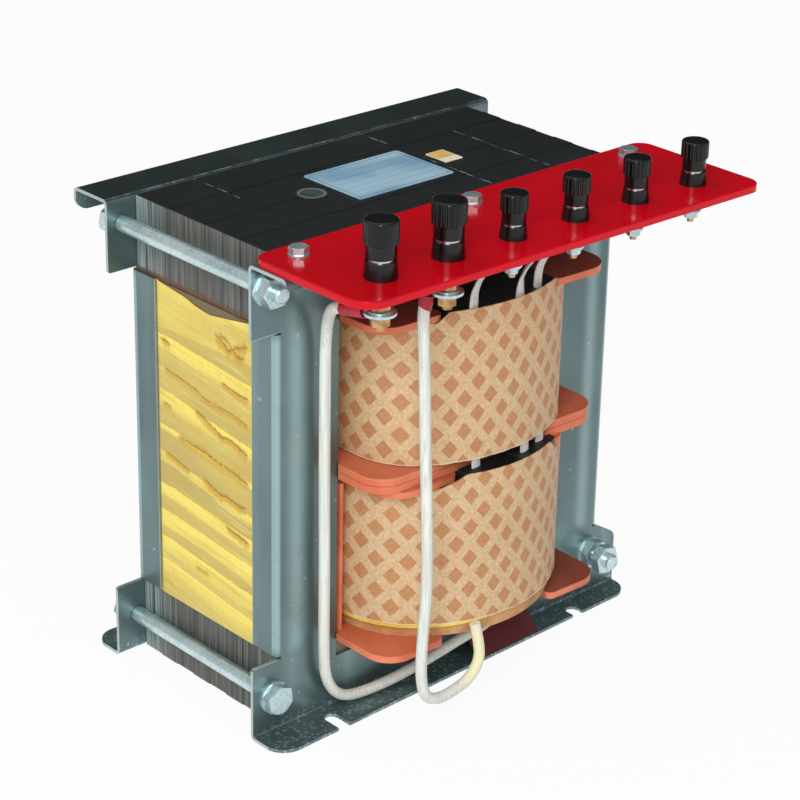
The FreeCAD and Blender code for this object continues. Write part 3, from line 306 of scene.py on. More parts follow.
def makeZincSheet():
    f = Finish("zincSheet", metallic=0.7)
    p = f.point()
    cloud = f.noise(p, 12, 2.0, 0.5)
    band = f.noise(f.stretched(p, (34, 34, 1.6)), 1.0, 2.0, 0.45)
    fine = f.noise(f.stretched(p, (420, 420, 60)), 1.0, 2.0)
    flake = f.node("TexVoronoi", {"feature": "F1"}, {"Vector": p, "Scale": 640.0}, "Color")
    spark = f.axes(flake)[0]
    x, y, z = f.axes(p)
    foot = z.fade(*footHeight)
    base = f.mix(cloud.fade(0.3, 0.72), tint("#627779"), tint("#748A8C"))
    # painted highlights: soft bright vertical streaks on the sheet, standing in for its reflections
    base = f.mix(band.fade(0.46, 0.74) * 0.5, base, tint("#9AB4B6"))
    # the sheet catches the light along its bends
    upright = z.fade(*bends["low"]) * z.fade(*bends["high"]) * y.size().over(bends["front"])
    bend = (x.size() - bends["fold"]).size().fade(0.0030, 0.0006)
    broad = (x.size() - bends["web"]).size().fade(0.0085, 0.0)
    base = f.mix((bend * 0.75).most(broad * 0.5) * upright, base, tint("#A9C6C8"))
    # painted shade: the rail's top is painted dark
    dark = y.over(rail["from"]) * z.over(rail["above"])
    base = f.mix(dark * 0.82, base, tint("#26302F"))
    outer = dark * y.over(rail["outer"])
    inner = y.over(rail["inner"][0]) * y.under(rail["inner"][1]) * z.over(rail["top"])
    # painted highlights along the rail's two edges, broken up by noise
    patchy = f.noise(p, 130, 3.0)
    base = f.mix((outer + inner) * patchy.fade(0.40, 0.62) * 0.55, base, tint("#A9B4B2"))
    base = f.mix(foot * 0.24, base, tint("#5A757B"))
    base = f.mix(spark.fade(0.72, 0.98) * foot * 0.55, base, tint("#C6D8DA"))
    mottle = f.noise(p, 75, 4.0, 0.6)
    base = f.mix(mottle.fade(0.50, 0.78) * 0.22, base, tint("#51666A"))
    base = f.mix(spark.fade(0.994, 0.998) * patchy.fade(0.5, 0.62) * 0.45, base, tint("#DCE8E8"))
    cut = x.size().over(cuts["earX"])
    cut = cut.most(y.size().under(cuts["foldY"]) * x.size().over(cuts["foldX"]))
    for height in cuts["earZ"]:
        cut = cut.most((z - height).size().under(0.0004) * x.size().over(cuts["earIn"]))
    # painted highlight along the sheet's cut edges
    base = f.mix(cut * 0.7, base, tint("#CBD8D6"))
    f.put("Base Color", base)
    f.put("Roughness", cloud * 0.10 + fine * 0.06 + mottle * 0.08 + 0.24 - band.fade(0.46, 0.74) * 0.05)
    f.bump(cloud * 0.5 + fine * 0.03 + spark * foot * 0.04, 0.0006, 0.2)
    return f


def makeBrightZinc():
    f = Finish("brightZinc", metallic=0.8)
    p = f.point()
    cloud = f.noise(p, 60, 2.0)
    grit = f.noise(p, 620, 2.0)
    tone = (cloud * 0.5 + grit * 0.5).fade(0.30, 0.70)
    f.put("Base Color", f.mix(tone, tint("#ABC6CA"), tint("#DDEEEF")))
    f.put("Roughness", cloud * 0.08 + grit * 0.10 + 0.22)
    f.bump(grit * 0.5 + cloud, 0.0001, 0.2)
    return f


def makeBrass():
    f = Finish("brass", metallic=0.9)
    p = f.point()
    cloud = f.noise(p, 120, 3.0)
    f.put("Base Color", f.mix(cloud.fade(0.35, 0.7), tint("#A67B4A"), tint("#DDB98B")))
    f.put("Roughness", cloud * 0.2 + 0.24)
    return f


def makeNickel():
    f = Finish("nickel", metallic=1.0)
    cloud = f.noise(f.point(), 200, 2.0)
    f.put("Base Color", f.mix(cloud, tint("#B8BCB8"), tint("#E6E8E4")))
    f.put("Roughness", cloud * 0.12 + 0.12)
    return f


coreLooks = {
    "top": 0.29905,  # the upper face starts here
    # the heights between which varnish has run down, and where the sides turn paler
    "varnish": [(0.2568, 0.2545), (0.238, 0.243)],
    "pale": (0.030, 0.062),
    # marks where strips meet on top: x, from y to y
    "seams": [(-89.0, 21.0, 66.0), (42.0, 40.0, 64.0), (42.0, -53.0, 8.0), (91.0, -52.0, 32.0)],
}


def makeCoreIron():
    f = Finish("coreIron", Specular_IOR_Level=0.35)
    p = f.point()
    x, y, z = f.axes(p)
    top = z.over(coreLooks["top"])
    # strips lie one behind another, so every line keeps its Y
    line = f.noise(f.stretched(p, (14, 1900, 14)), 1.0, 2.0, 0.6)
    broad = f.noise(f.stretched(p, (5, 260, 5)), 1.0, 2.0)
    cloud = f.noise(p, 26, 3.0)
    side = f.mix(line.fade(0.32, 0.7), tint("#3A3E3F"), tint("#85857C"))
    side = f.mix(broad.fade(0.42, 0.62) * 0.5, side, tint("#2E3335"))
    pale = y.fade(*coreLooks["pale"]) * (line * 0.6 + broad * 0.4).fade(0.38, 0.58)
    side = f.mix(pale * 0.95, side, tint("#A4B9BA"))
    upper, lower = coreLooks["varnish"]
    varnish = z.fade(*upper) * z.fade(*lower)
    side = f.mix(varnish * 0.85, side, tint("#6A4A30"))
    cover = f.mix(line.fade(0.40, 0.75) * 0.6, tint("#131818"), tint("#202727"))
    cover = f.mix(cloud.fade(0.5, 0.8) * 0.3, cover, tint("#262D2D"))
    patchy = f.noise(f.stretched(p, (300, 120, 10)), 1.0, 2.0)
    for place, low, high in coreLooks["seams"]:
        beside = (x - place / 1000).size().fade(0.0007, 0.0002)
        inside = y.over(low / 1000) * y.under(high / 1000)
        cover = f.mix(beside * inside * patchy.fade(0.40, 0.62) * 0.8, cover, tint("#9AA5A2"))
    f.put("Base Color", f.mix(top, side, cover))
    f.put("Roughness", cloud * 0.12 + line * 0.10 + 0.36)
    f.bump(line + broad * 0.6, 0.0003, 0.45)
    return f


# Board, plates and posts

# up to this height is the board's edge, painted a brighter red as a painted highlight
boardLitEdgeTop = 0.3037


def makeBoardRed():
    f = Finish("boardRed", Specular_IOR_Level=0.2)
    p = f.point()
    cloud = f.noise(p, 14, 3.0)
    z = f.axes(p)[2]
    edge = z.under(boardLitEdgeTop)
    base = f.mix(cloud.fade(0.35, 0.7), tint("#C00012"), tint("#D2001A"))
    # painted highlight: the board's edge is painted a lighter red
    base = f.mix(edge * 0.5, base, tint("#DA1026"))
    f.put("Base Color", base)
    f.put("Roughness", f.noise(p, 60, 2.0) * 0.08 + 0.13)
    f.bump(f.noise(p, 30, 1.0), 0.0002, 0.2)
    return f


# heights of the plates' upper faces; a painted shadow darkens the top one and the right half of the
# bottom one
plateTops = [0.0493, 0.1515, 0.1565, 0.1617, 0.2554]
faceDepth = 0.0003


def makeFibrePlate():
    f = Finish("fibrePlate", Specular_IOR_Level=0.4)
    p = f.point()
    x, _, z = f.axes(p)
    layer = f.noise(f.stretched(p, (12, 12, 1500)), 1.0, 1.0)
    cloud = f.noise(p, 34, 3.0, 0.5)
    grain = f.noise(p, 900, 1.0)
    base = f.mix(cloud.fade(0.32, 0.7), tint("#D56B49"), tint("#EC8862"))
    base = f.mix(layer.fade(0.5, 0.8) * 0.35, base, tint("#FAA47C"))
    faces = [(z - height).size().under(faceDepth) for height in plateTops]
    face = faces[0]
    for other in faces[1:]:
        face = face.most(other)
    # painted shade: all the plates' upper faces are painted darker than their lit edges
    base = f.mix(face * 0.35, base, tint("#9A442E"))
    # painted shadow of the board and the coil on the top plate and the right half of the bottom one
    paintedShadow = faces[-1].most(faces[0] * x.over(0.0))
    base = f.mix(paintedShadow * 0.6, base, tint("#5A2A24"))
    f.put("Base Color", base)
    f.put("Roughness", cloud * 0.16 + 0.34)
    f.bump(layer * 0.4 + grain * 0.25 + cloud * 0.4, 0.00025, 0.35)
    return f


def makePostBlack():
    f = Finish("postBlack", Specular_IOR_Level=0.42)
    p = f.point()
    cloud = f.noise(p, 150, 2.0)
    f.put("Base Color", f.mix(cloud, tint("#050606"), tint("#0C0F0F")))
    f.put("Roughness", cloud * 0.10 + 0.15)
    f.bump(f.noise(p, 1200, 1.0), 0.0001, 0.15)
    return f


# Coil coverings

coilUpper = {"halfWidth": 75.0, "halfLength": 118.5, "straight": 63.5, "shoulder": 48.5}
coilLower = {"halfWidth": 79.2, "halfLength": 124.6, "straight": 58.5, "shoulder": 58.0}


class CoilOutline:
    # a coil seen from above: straight sides, two shoulder arcs and a front arc at each end
    def __init__(self, coil, inset=0.0):
        bulge = coil["halfLength"] - coil["straight"]
        width, shoulder = coil["halfWidth"], coil["shoulder"]
        front = (width ** 2 - 2 * width * shoulder + bulge ** 2) / (2 * (bulge - shoulder))
        self.shoulderAt = (width - shoulder, coil["straight"])
        self.frontAt = coil["halfLength"] - front
        away = math.hypot(self.shoulderAt[0], self.shoulderAt[1] - self.frontAt)
        self.turn = math.asin(self.shoulderAt[0] / away)
        self.front = front - inset
        self.shoulder = shoulder - inset
        self.width = width - inset
        self.straight = coil["straight"]
        self.arcFront = self.front * self.turn
        self.arcShoulder = self.shoulder * (math.pi / 2 - self.turn)
        self.quarter = self.arcFront + self.arcShoulder + self.straight
        self.total = 4 * self.quarter

    def quarterPoint(self, run):
        # from the middle of the front towards a side; returns x, forward and the outward way
        if run <= self.arcFront:
            angle = run / self.front
            return self.front * math.sin(angle), self.frontAt + self.front * math.cos(angle), angle
        run -= self.arcFront
        if run <= self.arcShoulder:
            angle = self.turn + run / self.shoulder
            x = self.shoulderAt[0] + self.shoulder * math.sin(angle)
            return x, self.shoulderAt[1] + self.shoulder * math.cos(angle), angle
        return self.width, self.straight - (run - self.arcShoulder), math.pi / 2

    def at(self, run, out=0.0):
        # run is measured from the middle of the front, positive to the right
        run = (run + self.total / 2) % self.total - self.total / 2
        behind = abs(run) > 2 * self.quarter - 1e-9
        distance = abs(run)
        flip = distance > self.quarter
        if flip:
            distance = 2 * self.quarter - distance
        x, forward, angle = self.quarterPoint(max(distance, 0.0))
        x += out * math.sin(angle)
        forward += out * math.cos(angle)
        if flip or behind:
            forward = -forward
        return math.copysign(x, run), -forward


def addGrid(name, across, up):
    bpy.ops.object.select_all(action="DESELECT")
    bpy.ops.mesh.primitive_grid_add(x_subdivisions=across, y_subdivisions=up, size=2)
    obj = bpy.context.object
    obj.name = name
    obj.data.name = name
    return obj


def shapeGrid(obj, place):
    # every grid point goes to place(u, v), with u and v from 0 to 1
    for vertex in obj.data.vertices:
        vertex.co = place((vertex.co.x + 1) / 2, (vertex.co.y + 1) / 2)


def writeMap(obj, place):
    # the piece's own map in metres, so that a pattern follows the surface
    layer = obj.data.uv_layers.active
    for loop in obj.data.loops:
        layer.data[loop.index].uv = place(layer.data[loop.index].uv)


def pick(*objects):
    bpy.ops.object.select_all(action="DESELECT")
    for obj in objects:
        obj.select_set(True)
    bpy.context.view_layer.objects.active = objects[0]


def applyAll(obj):
    pick(obj)
    for modifier in list(obj.modifiers):
        bpy.ops.object.modifier_apply(modifier=modifier.name)


def thicken(obj, thick, offset=-1.0):
    solid = obj.modifiers.new("wall", "SOLIDIFY")
    solid.thickness = thick
    solid.offset = offset
    solid.use_even_offset = True
    applyAll(obj)


def smooth(obj, degrees=40):
    pick(obj)
    bpy.ops.object.shade_smooth_by_angle(angle=math.radians(degrees))


def closeSeam(obj):
    pick(obj)
    bpy.ops.object.mode_set(mode="EDIT")
    bpy.ops.mesh.select_all(action="SELECT")
    bpy.ops.mesh.remove_doubles(threshold=0.00001)
    bpy.ops.mesh.normals_make_consistent(inside=False)
    bpy.ops.object.mode_set(mode="OBJECT")


def wander(seed, where, scale):
    return noise.noise(Vector((seed * 7.31, where * scale, seed * 1.7)))


def makeDiamondPaper(name, lattice):
    # a centred lattice of diamonds: squares on axes turned by 45 degrees
    f = Finish(name, roughness=0.52)
    uv = f.node("UVMap")
    u, v, _ = f.axes(uv)
    p = f.point()
    shift = f.noise(p, 26, 2.0)
    drift = f.noise(p, 21, 2.0, 0.5, 0.6)
    across = (u - lattice["u"] / 1000) / (lattice["pitchU"] / 1000) + (shift - 0.5) * 0.10
    up = (v - lattice["z"] / 1000) / (lattice["pitchZ"] / 1000) + (drift - 0.5) * 0.08
    first = (across + up + 0.5).part() - 0.5
    second = (across - up + 0.5).part() - 0.5
    far = first.size().most(second.size())
    rough = f.noise(p, 420, 2.0)
    edge = far + (rough - 0.5) * 0.03
    half = lattice["half"]
    spot = edge.fade(half + 0.012, half - 0.012)
    rim = edge.fade(half + 0.03, half) * edge.fade(half - 0.04, half)
    fibre = f.noise(p, 520, 3.0, 0.6)
    cloud = f.noise(p, 30, 3.0)
    paper = f.mix(fibre.fade(0.35, 0.7), tint("#D0AD82"), tint("#E0C49C"))
    paper = f.mix(cloud.fade(0.45, 0.8) * 0.35, paper, tint("#CDA67C"))
    resin = f.mix(fibre.fade(0.35, 0.7), tint("#BF8556"), tint("#CC9466"))
    resin = f.mix(cloud.fade(0.4, 0.7) * 0.35, resin, tint("#B67A4C"))
    base = f.mix(spot, paper, resin)
    base = f.mix(rim * 0.35, base, tint("#A06C42"))
    cut = lattice["cut"] / 1000
    base = f.mix(v.fade(cut + 0.0009, cut + 0.0003) * 0.8, base, tint("#F4E2BC"))
    f.put("Base Color", base)
    f.put("Roughness", 0.58 - spot * 0.08 + (cloud - 0.5) * 0.1)
    f.bump(spot * 0.4 + fibre * 0.22 + cloud * 0.4, 0.0002, 0.5)
    return f


paperUpper = {
    "low": 162.3, "foot": 250.8, "top": 257.2, "wall": 0.8,
    "tongue": (-49.5, -43.0, 42.9, 42.9), "ragged": 0.25, "stretchFrom": -45, "stretch": 1.15,
    # one diamond's place, the pitches, how far a diamond reaches and the height of the cut edge
    "lattice": {"u": -32.0, "z": 242.9, "pitchU": 19.8, "pitchZ": 20.4, "half": 0.275, "cut": 162.3},
}
paperLower = {
    "low": 59.0, "foot": 147.0, "top": 155.9, "wall": 0.8,
    "tongue": (-50.0, -33.0, 35.0, 45.5), "ragged": 0.55, "stretchFrom": -45, "stretch": 1.15,
    "lattice": {"u": -59.0, "z": 90.7, "pitchU": 19.6, "pitchZ": 20.4, "half": 0.275, "cut": 59.0},
}


def wrapTop(settings, x, front):
    # height of the paper's upper edge over a place on the outline
    a, b, c, d = settings["tongue"]
    foot, top = settings["foot"], settings["top"]
    if not front or x <= a or x >= d:
        return foot
    if x < b:
        return foot + (top - foot) * (x - a) / max(b - a, 0.01)
    if x > c:
        return foot + (top - foot) * (d - x) / max(d - c, 0.01)
    return top


paperForm = {
    "across": 420, "up": 26,
    # how far the lower edge stands out, how fast that dies away upwards, and the most allowed
    "flare": 0.5, "flareDecay": 14, "flareMost": 0.25,
    # gentle waves over the whole sheet, and how far it is drawn in to keep them on the coil
    "ripple": 0.18, "wavesAcross": 0.045, "wavesUp": 0.035, "inward": 0.12,
    "wobble": 0.25,  # of the upper edge
}


def addPaper(name, coil, settings, node, seed):
    outline = CoilOutline(coil)
    obj = addGrid(name, paperForm["across"], paperForm["up"])

    def place(u, v):
        run = (u - 0.5) * outline.total
        x, y = outline.at(run)
        top = wrapTop(settings, x, abs(y) > outline.straight)
        jag = wander(seed, run, 0.9) + 0.6 * wander(seed + 3, run, 2.7)
        low = settings["low"] + settings["ragged"] * jag
        top += paperForm["wobble"] * wander(seed + 5, run, 0.35)
        z = low + (top - low) * v
        decay = max(0.0, 1 - v * paperForm["flareDecay"])
        flare = paperForm["flare"] * decay * wander(seed + 8, run, 0.12)
        aside, up = paperForm["wavesAcross"], paperForm["wavesUp"]
        ripple = paperForm["ripple"] * noise.noise(Vector((x * aside, y * aside, z * up + seed)))
        x, y = outline.at(run, min(flare, paperForm["flareMost"]) + ripple - paperForm["inward"])
        return mm(x, y, z)

    def mapPlace(spot):
        run = (spot[0] - 0.5) * outline.total
        start = settings["stretchFrom"]
        stretch = run if run < start else start + (run - start) * settings["stretch"]
        x, y = outline.at(run)
        top = wrapTop(settings, x, abs(y) > outline.straight)
        return stretch / 1000, (settings["low"] + (top - settings["low"]) * spot[1]) / 1000

    writeMap(obj, mapPlace)
    shapeGrid(obj, place)
    closeSeam(obj)
    thicken(obj, settings["wall"] / 1000)
    smooth(obj)
    finish = makeDiamondPaper(name + "Finish", settings["lattice"])
    addPiece(obj, finish)
    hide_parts(node)


yellowBand = {
    "across": 420, "up": 8,
    "inset": 0.8, "wall": 2.4, "low": 59.0, "top": 147.0, "ragged": 0.4,
    # how far it shows below the paper, from left to right
    "show": [(-80, 2.6), (-40, 2.2), (-14, 0.9), (4, -0.6), (80, -0.8)],
}


def addBand(name, coil, band, finish, node, seed):
    outline = CoilOutline(coil, band["inset"])
    obj = addGrid(name, band["across"], band["up"])

    def place(u, v):
        run = (u - 0.5) * outline.total
        x, y = outline.at(run)
        jag = band["ragged"] * (wander(seed, run, 0.8) + 0.7 * wander(seed + 3, run, 2.2))
        low = band["low"] - along(band["show"], x) + jag
        return mm(x, y, low + (band["top"] - low) * v)

    shapeGrid(obj, place)
    closeSeam(obj)
    thicken(obj, band["wall"] / 1000)
    smooth(obj)
    addPiece(obj, finish)
    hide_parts(node)


# Flat leads and boots

flatLeads = {
    "wide": 6.6, "thick": 2.0, "around": 20, "crease": 0.12,
    # from the height of the plate's edge a lead turns towards its post, fully within this rise
    "edge": 257.4, "turnOver": 14,
    "tap_lead_1": {
        "points": [
            (-21.0, -111.8, 154.8), (-24.0, -111.8, 206.0), (-27.0, -111.8, 250.0),
            (-27.0, -111.8, 264.7), (-26.4, -113.9, 271.4), (-25.4, -117.8, 278.4),
            (-24.0, -122.7, 283.6), (-22.2, -129.4, 286.5),
        ],
        "side": (-0.965, -0.263),
    },
    "tap_lead_2": {
        "points": [
            (16.0, -114.6, 154.8), (11.5, -114.6, 206.0), (7.0, -114.6, 250.0),
            (7.0, -114.6, 265.6), (9.0, -116.6, 273.0), (12.7, -120.4, 280.9),
            (17.3, -125.3, 286.7), (23.7, -131.8, 290.0),
        ],
        "side": (-0.72, -0.694),
    },
    "tap_lead_3": {
        "points": [
            (33.0, -109.8, 154.8), (29.5, -109.8, 206.0), (26.0, -109.8, 250.0),
            (26.0, -109.8, 264.7), (26.1, -112.3, 271.4), (26.4, -116.8, 278.4),
            (26.7, -122.5, 283.6), (27.1, -130.3, 286.5),
        ],
        "side": (-0.999, -0.054),
    },
}

bootForm = {"wall": 0.0006, "around": 36, "along": 14, "waist": 0.12, "waistLeast": -0.05}
# radii at the lead and at the lug, how slanted the cut end is, and the way its ring is set out from
boots = [
    {
        "low": (-123.09, -107.96, 280.58), "high": (-119.46, -123.01, 283.18),
        "near": 4.15, "far": 4.9, "slant": 2.0, "start": (0, 0, 1),
    },
    {
        "low": (-78.5, -125.46, 273.35), "high": (-77.45, -126.38, 282.65),
        "near": 4.15, "far": 4.6, "slant": 3.0, "start": (-0.6, -0.8, 0),
    },
]


def routeLine(points):
    # places along the smooth line of a route
    curve = routeCurve("route", points, 10)
    holder = bpy.data.objects.new("route", curve)
    line = bpy.data.meshes.new_from_object(holder)
    places = [vertex.co.copy() for vertex in line.vertices]
    bpy.data.objects.remove(holder)
    bpy.data.curves.remove(curve)
    bpy.data.meshes.remove(line)
    return places


def fillEnds(obj):
    pick(obj)
    bpy.ops.object.mode_set(mode="EDIT")
    bpy.ops.mesh.select_all(action="SELECT")
    bpy.ops.mesh.fill_holes(sides=0)
    bpy.ops.mesh.select_all(action="SELECT")
    bpy.ops.mesh.normals_make_consistent(inside=False)
    bpy.ops.object.mode_set(mode="OBJECT")


def addFlatLead(node, seed):
    lead = flatLeads[node]
    line = routeLine(lead["points"])
    last = len(line) - 1
    obj = addGrid(node + "_sleeve", flatLeads["around"], last)
    level = Vector((-1, 0, 0))
    aside = Vector((*lead["side"], 0))

    def place(u, v):
        index = round(v * last)
        here = line[index]
        way = (line[min(index + 1, last)] - line[max(index - 1, 0)]).normalized()
        share = min(max((here.z * 1000 - flatLeads["edge"]) / flatLeads["turnOver"], 0), 1)
        side = level.lerp(aside, share)
        side = (side - way * side.dot(way)).normalized()
        out = way.cross(side)
        c, s = math.cos(2 * math.pi * u), math.sin(2 * math.pi * u)
        wide = flatLeads["wide"] / 2 * math.copysign(abs(c) ** 0.6, c)
        thick = flatLeads["thick"] / 2 * math.copysign(abs(s) ** 0.8, s)
        crease = flatLeads["crease"] * math.cos(math.pi * wide / flatLeads["wide"] * 3)
        crease += flatLeads["crease"] * wander(seed, index * 0.3, 1.0)
        return here + side * (wide / 1000) + out * ((thick + crease - 0.1) / 1000)

    shapeGrid(obj, place)
    closeSeam(obj)
    fillEnds(obj)
    smooth(obj, 50)
    addPiece(obj, sleeveFinish)
    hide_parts(node)


def addBoots(finish):
    made = []
    for boot in boots:
        low, high = mm(*boot["low"]), mm(*boot["high"])
        way = (high - low).normalized()
        length = (high - low).length
        side = Vector(boot["start"]).cross(way).normalized()
        other = way.cross(side)
        obj = addGrid("boot", bootForm["around"], bootForm["along"])

        def place(u, v):
            angle = 2 * math.pi * u
            slant = boot["slant"] / 1000 * (0.5 + 0.5 * math.cos(angle)) * (1 - v) ** 2
            waist = max(bootForm["waist"] * math.sin(v * 9) * (1 - v), bootForm["waistLeast"])
            radius = boot["near"] + (boot["far"] - boot["near"]) * v ** 1.4 - waist
            outward = side * math.cos(angle) + other * math.sin(angle)
            reach = length * v + slant
            return low + way * reach + outward * (radius / 1000)

        shapeGrid(obj, place)
        closeSeam(obj)
        thicken(obj, bootForm["wall"])
        made.append(obj)
    pick(*made)
    bpy.ops.object.join()
    made[0].name = "boots"
    smooth(made[0], 50)
    addPiece(made[0], finish)
    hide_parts("lead_boots")


def makePlainPaper(name, dark, light, rough=0.6):
    f = Finish(name, roughness=rough)
    p = f.point()
    cloud = f.noise(p, 60, 3.0)
    fibre = f.noise(f.stretched(p, (300, 300, 900)), 1.0, 2.0)
    f.put("Base Color", f.mix((cloud * 0.6 + fibre * 0.4).fade(0.35, 0.65), tint(dark), tint(light)))
    f.bump(fibre + cloud, 0.0002, 0.5)
    return f


blackLap = {"pitch": 7.5, "slope": 160, "uneven": 3.0}


def makeBlackTape():
    f = Finish("blackTape", roughness=0.5)
    p = f.point()
    weave = f.noise(f.stretched(p, (900, 900, 2200)), 1.0, 1.0)
    x, _, z = f.axes(p)
    height = z * 1000 + x * blackLap["slope"] + f.noise(p, 30, 2.0) * blackLap["uneven"]
    lap = (height / blackLap["pitch"]).part()
    cloud = f.noise(p, 80, 3.0)
    base = f.mix(cloud, tint("#0A0F11"), tint("#1B2427"))
    base = f.mix(lap.fade(0.86, 0.97) * 0.5, base, tint("#2E3D42"))
    f.put("Base Color", base)
    f.put("Roughness", cloud * 0.25 + 0.36)
    f.bump(lap * 0.8 + weave * 0.3, 0.0006, 0.6)
    return f


def makeMaroonFilm():
    f = Finish("maroonFilm")
    cloud = f.noise(f.point(), 40, 2.0)
    f.put("Base Color", f.mix(cloud.fade(0.35, 0.65), tint("#5C262B"), tint("#6F2C31")))
    f.put("Roughness", cloud * 0.12 + 0.4)
    return f


plateForm = {
    "half": (37.5, 26.0), "border": (2.2, 2.8), "inset": 6.0,
    "rules": [15.0, 7.5, 0.0, -7.5, -15.0], "thin": 0.22,
}


def makeRatingPlate():
    # a blank form: a border and ruled lines
    f = Finish("ratingBlue")
    p = f.point()
    x, y, _ = f.axes(p)
    sheen = f.noise(f.stretched(p, (16, 40, 16)), 1.0, 2.0)
    base = f.mix(sheen.fade(0.35, 0.65), tint("#86AEC8"), tint("#ABCDDF"))
    wide, deep = plateForm["half"]
    inset = (wide / 1000 - x.size()).least(deep / 1000 - y.size())
    low, high = plateForm["border"]
    border = inset.over(low / 1000) * inset.under(high / 1000)
    inner = x.size().under((wide - plateForm["inset"]) / 1000)
    for height in plateForm["rules"]:
        rule = (y - height / 1000).size().under(plateForm["thin"] / 1000) * inner
        border = border.most(rule * 0.7)
    f.put("Base Color", f.mix(border * 0.75, base, tint("#3F5F82")))
    f.put("Roughness", sheen * 0.12 + 0.26)
    return f


ovalForm = {"x": -0.0525, "ring": (0.0074, 0.0080)}


def makeOvalLabel():
    f = Finish("ovalGreen")
    p = f.point()
    x, y, _ = f.axes(p)
    far = ((x - ovalForm["x"]) ** 2.0 + y ** 2.0) ** 0.5
    cloud = f.noise(p, 60, 2.0)
    base = f.mix(cloud.fade(0.35, 0.65), tint("#34423D"), tint("#51625A"))
    ring = far.over(ovalForm["ring"][0]) * far.under(ovalForm["ring"][1])
    f.put("Base Color", f.mix(ring, base, tint("#93A69B")))
    f.put("Roughness", cloud * 0.12 + 0.28)
    return f


amberForm = {"x": 0.053, "half": (0.0066, 0.0089), "split": -0.0025}


def makeAmberLabel():
    f = Finish("amberSticker")
    p = f.point()
    x, y, _ = f.axes(p)
    cloud = f.noise(p, 60, 2.0)
    amber = f.mix(cloud, tint("#E3B64E"), tint("#F0CE73"))
    base = f.mix(y.over(amberForm["split"]), tint("#F3EEDD"), amber)
    wide, deep = amberForm["half"]
    rim = (wide - (x - amberForm["x"]).size()).least(deep - y.size())
    f.put("Base Color", f.mix(rim.under(0.0) * 0.8, base, tint("#F6F1E2")))
    f.put("Roughness", cloud * 0.12 + 0.32)
    return f


# Yellow tape on the outer legs

tape = {
    "low": 47.6, "halfFace": 43.6, "face": 132.8, "wall": 0.00012,
    "across": 110, "up": 430,
    # how tall and broad the wrap is taken to be where its relief dies away at the edges
    "tall": 205, "broad": 87,
    # how far the skin stands off its face, at least and flat, and how much it is crumpled
    "liftLeast": 0.12, "lift": 0.35, "crumple": 0.22,
    "top": [
        (-43, 252.4), (-30, 250.2), (-21, 248.6), (-5, 246.0), (8, 247.6), (18, 250.0), (43, 252.6),
    ],
    # half the depth between the ends of a turn, and how far a crease runs past its points
    "reach": 43.0, "overrun": 1.5,
    # turns of tape from the top: height at the back and at the front, how bright the turn is painted
    # lit, how high
    "turns": [
        (253, 253, 0.80, 0.2), (224, 227, 0.30, 0.05), (220, 214, 0.95, 0.45), (211, 203, 0.45, 0.1),
        (199, 190, 0.35, 0.1), (185, 175, 0.90, 0.45), (174, 167, 0.40, 0.1), (162, 153, 0.92, 0.5),
        (158, 149, 0.30, 0.1), (144, 131, 0.75, 0.45), (138, 126, 0.22, 0.1), (123, 116, 0.97, 0.5),
        (114, 108, 0.40, 0.1), (105, 99, 0.95, 0.45), (94, 89, 0.35, 0.1), (87, 80, 0.92, 0.4),
        (77, 68, 0.55, 0.2), (72, 63, 0.88, 0.4), (60, 55, 0.60, 0.15), (40, 40, 0.6, 0.1),
    ],
    # creases, each with painted shade: points along each, and how wide it is
    "creases": [
        ([(40, 199), (22, 197), (9, 195), (0, 192), (-14, 191), (-24, 191), (-42, 188)], 0.9),
        ([(42, 218), (34, 216), (30, 214)], 1.3),
        ([(-14, 208), (-24, 206), (-34, 205), (-42, 205)], 1.2),
        ([(10, 182), (3, 180), (-8, 176), (-16, 173), (-24, 174), (-33, 171), (-41, 169)], 1.5),
        ([(42, 177), (30, 175)], 0.8),
        ([(27, 159), (10, 158), (-2, 157), (-11, 155), (-24, 154), (-42, 151)], 1.5),
        ([(40, 145), (30, 143), (13, 139)], 1.0),
        ([(4, 141), (-6, 137), (-14, 135), (-20, 136), (-30, 134), (-39, 135)], 1.4),
        ([(-18, 117), (-26, 115), (-34, 114), (-42, 112)], 1.4),
        ([(12, 79), (4, 78), (-4, 78)], 0.5),
        ([(-8, 236), (-16, 234), (-22, 229), (-28, 233), (-36, 236), (-41, 237)], 2.2),
        ([(-12, 238), (-22, 235), (-30, 228), (-38, 229)], 1.8),
    ],
}


def along(points, where):
    # a value between listed points, which run down or up in their first number
    ordered = sorted(points)
    if where <= ordered[0][0]:
        return ordered[0][1]
    for (a, low), (b, high) in zip(ordered, ordered[1:]):
        if where <= b:
            return low + (high - low) * (where - a) / (b - a)
    return ordered[-1][1]


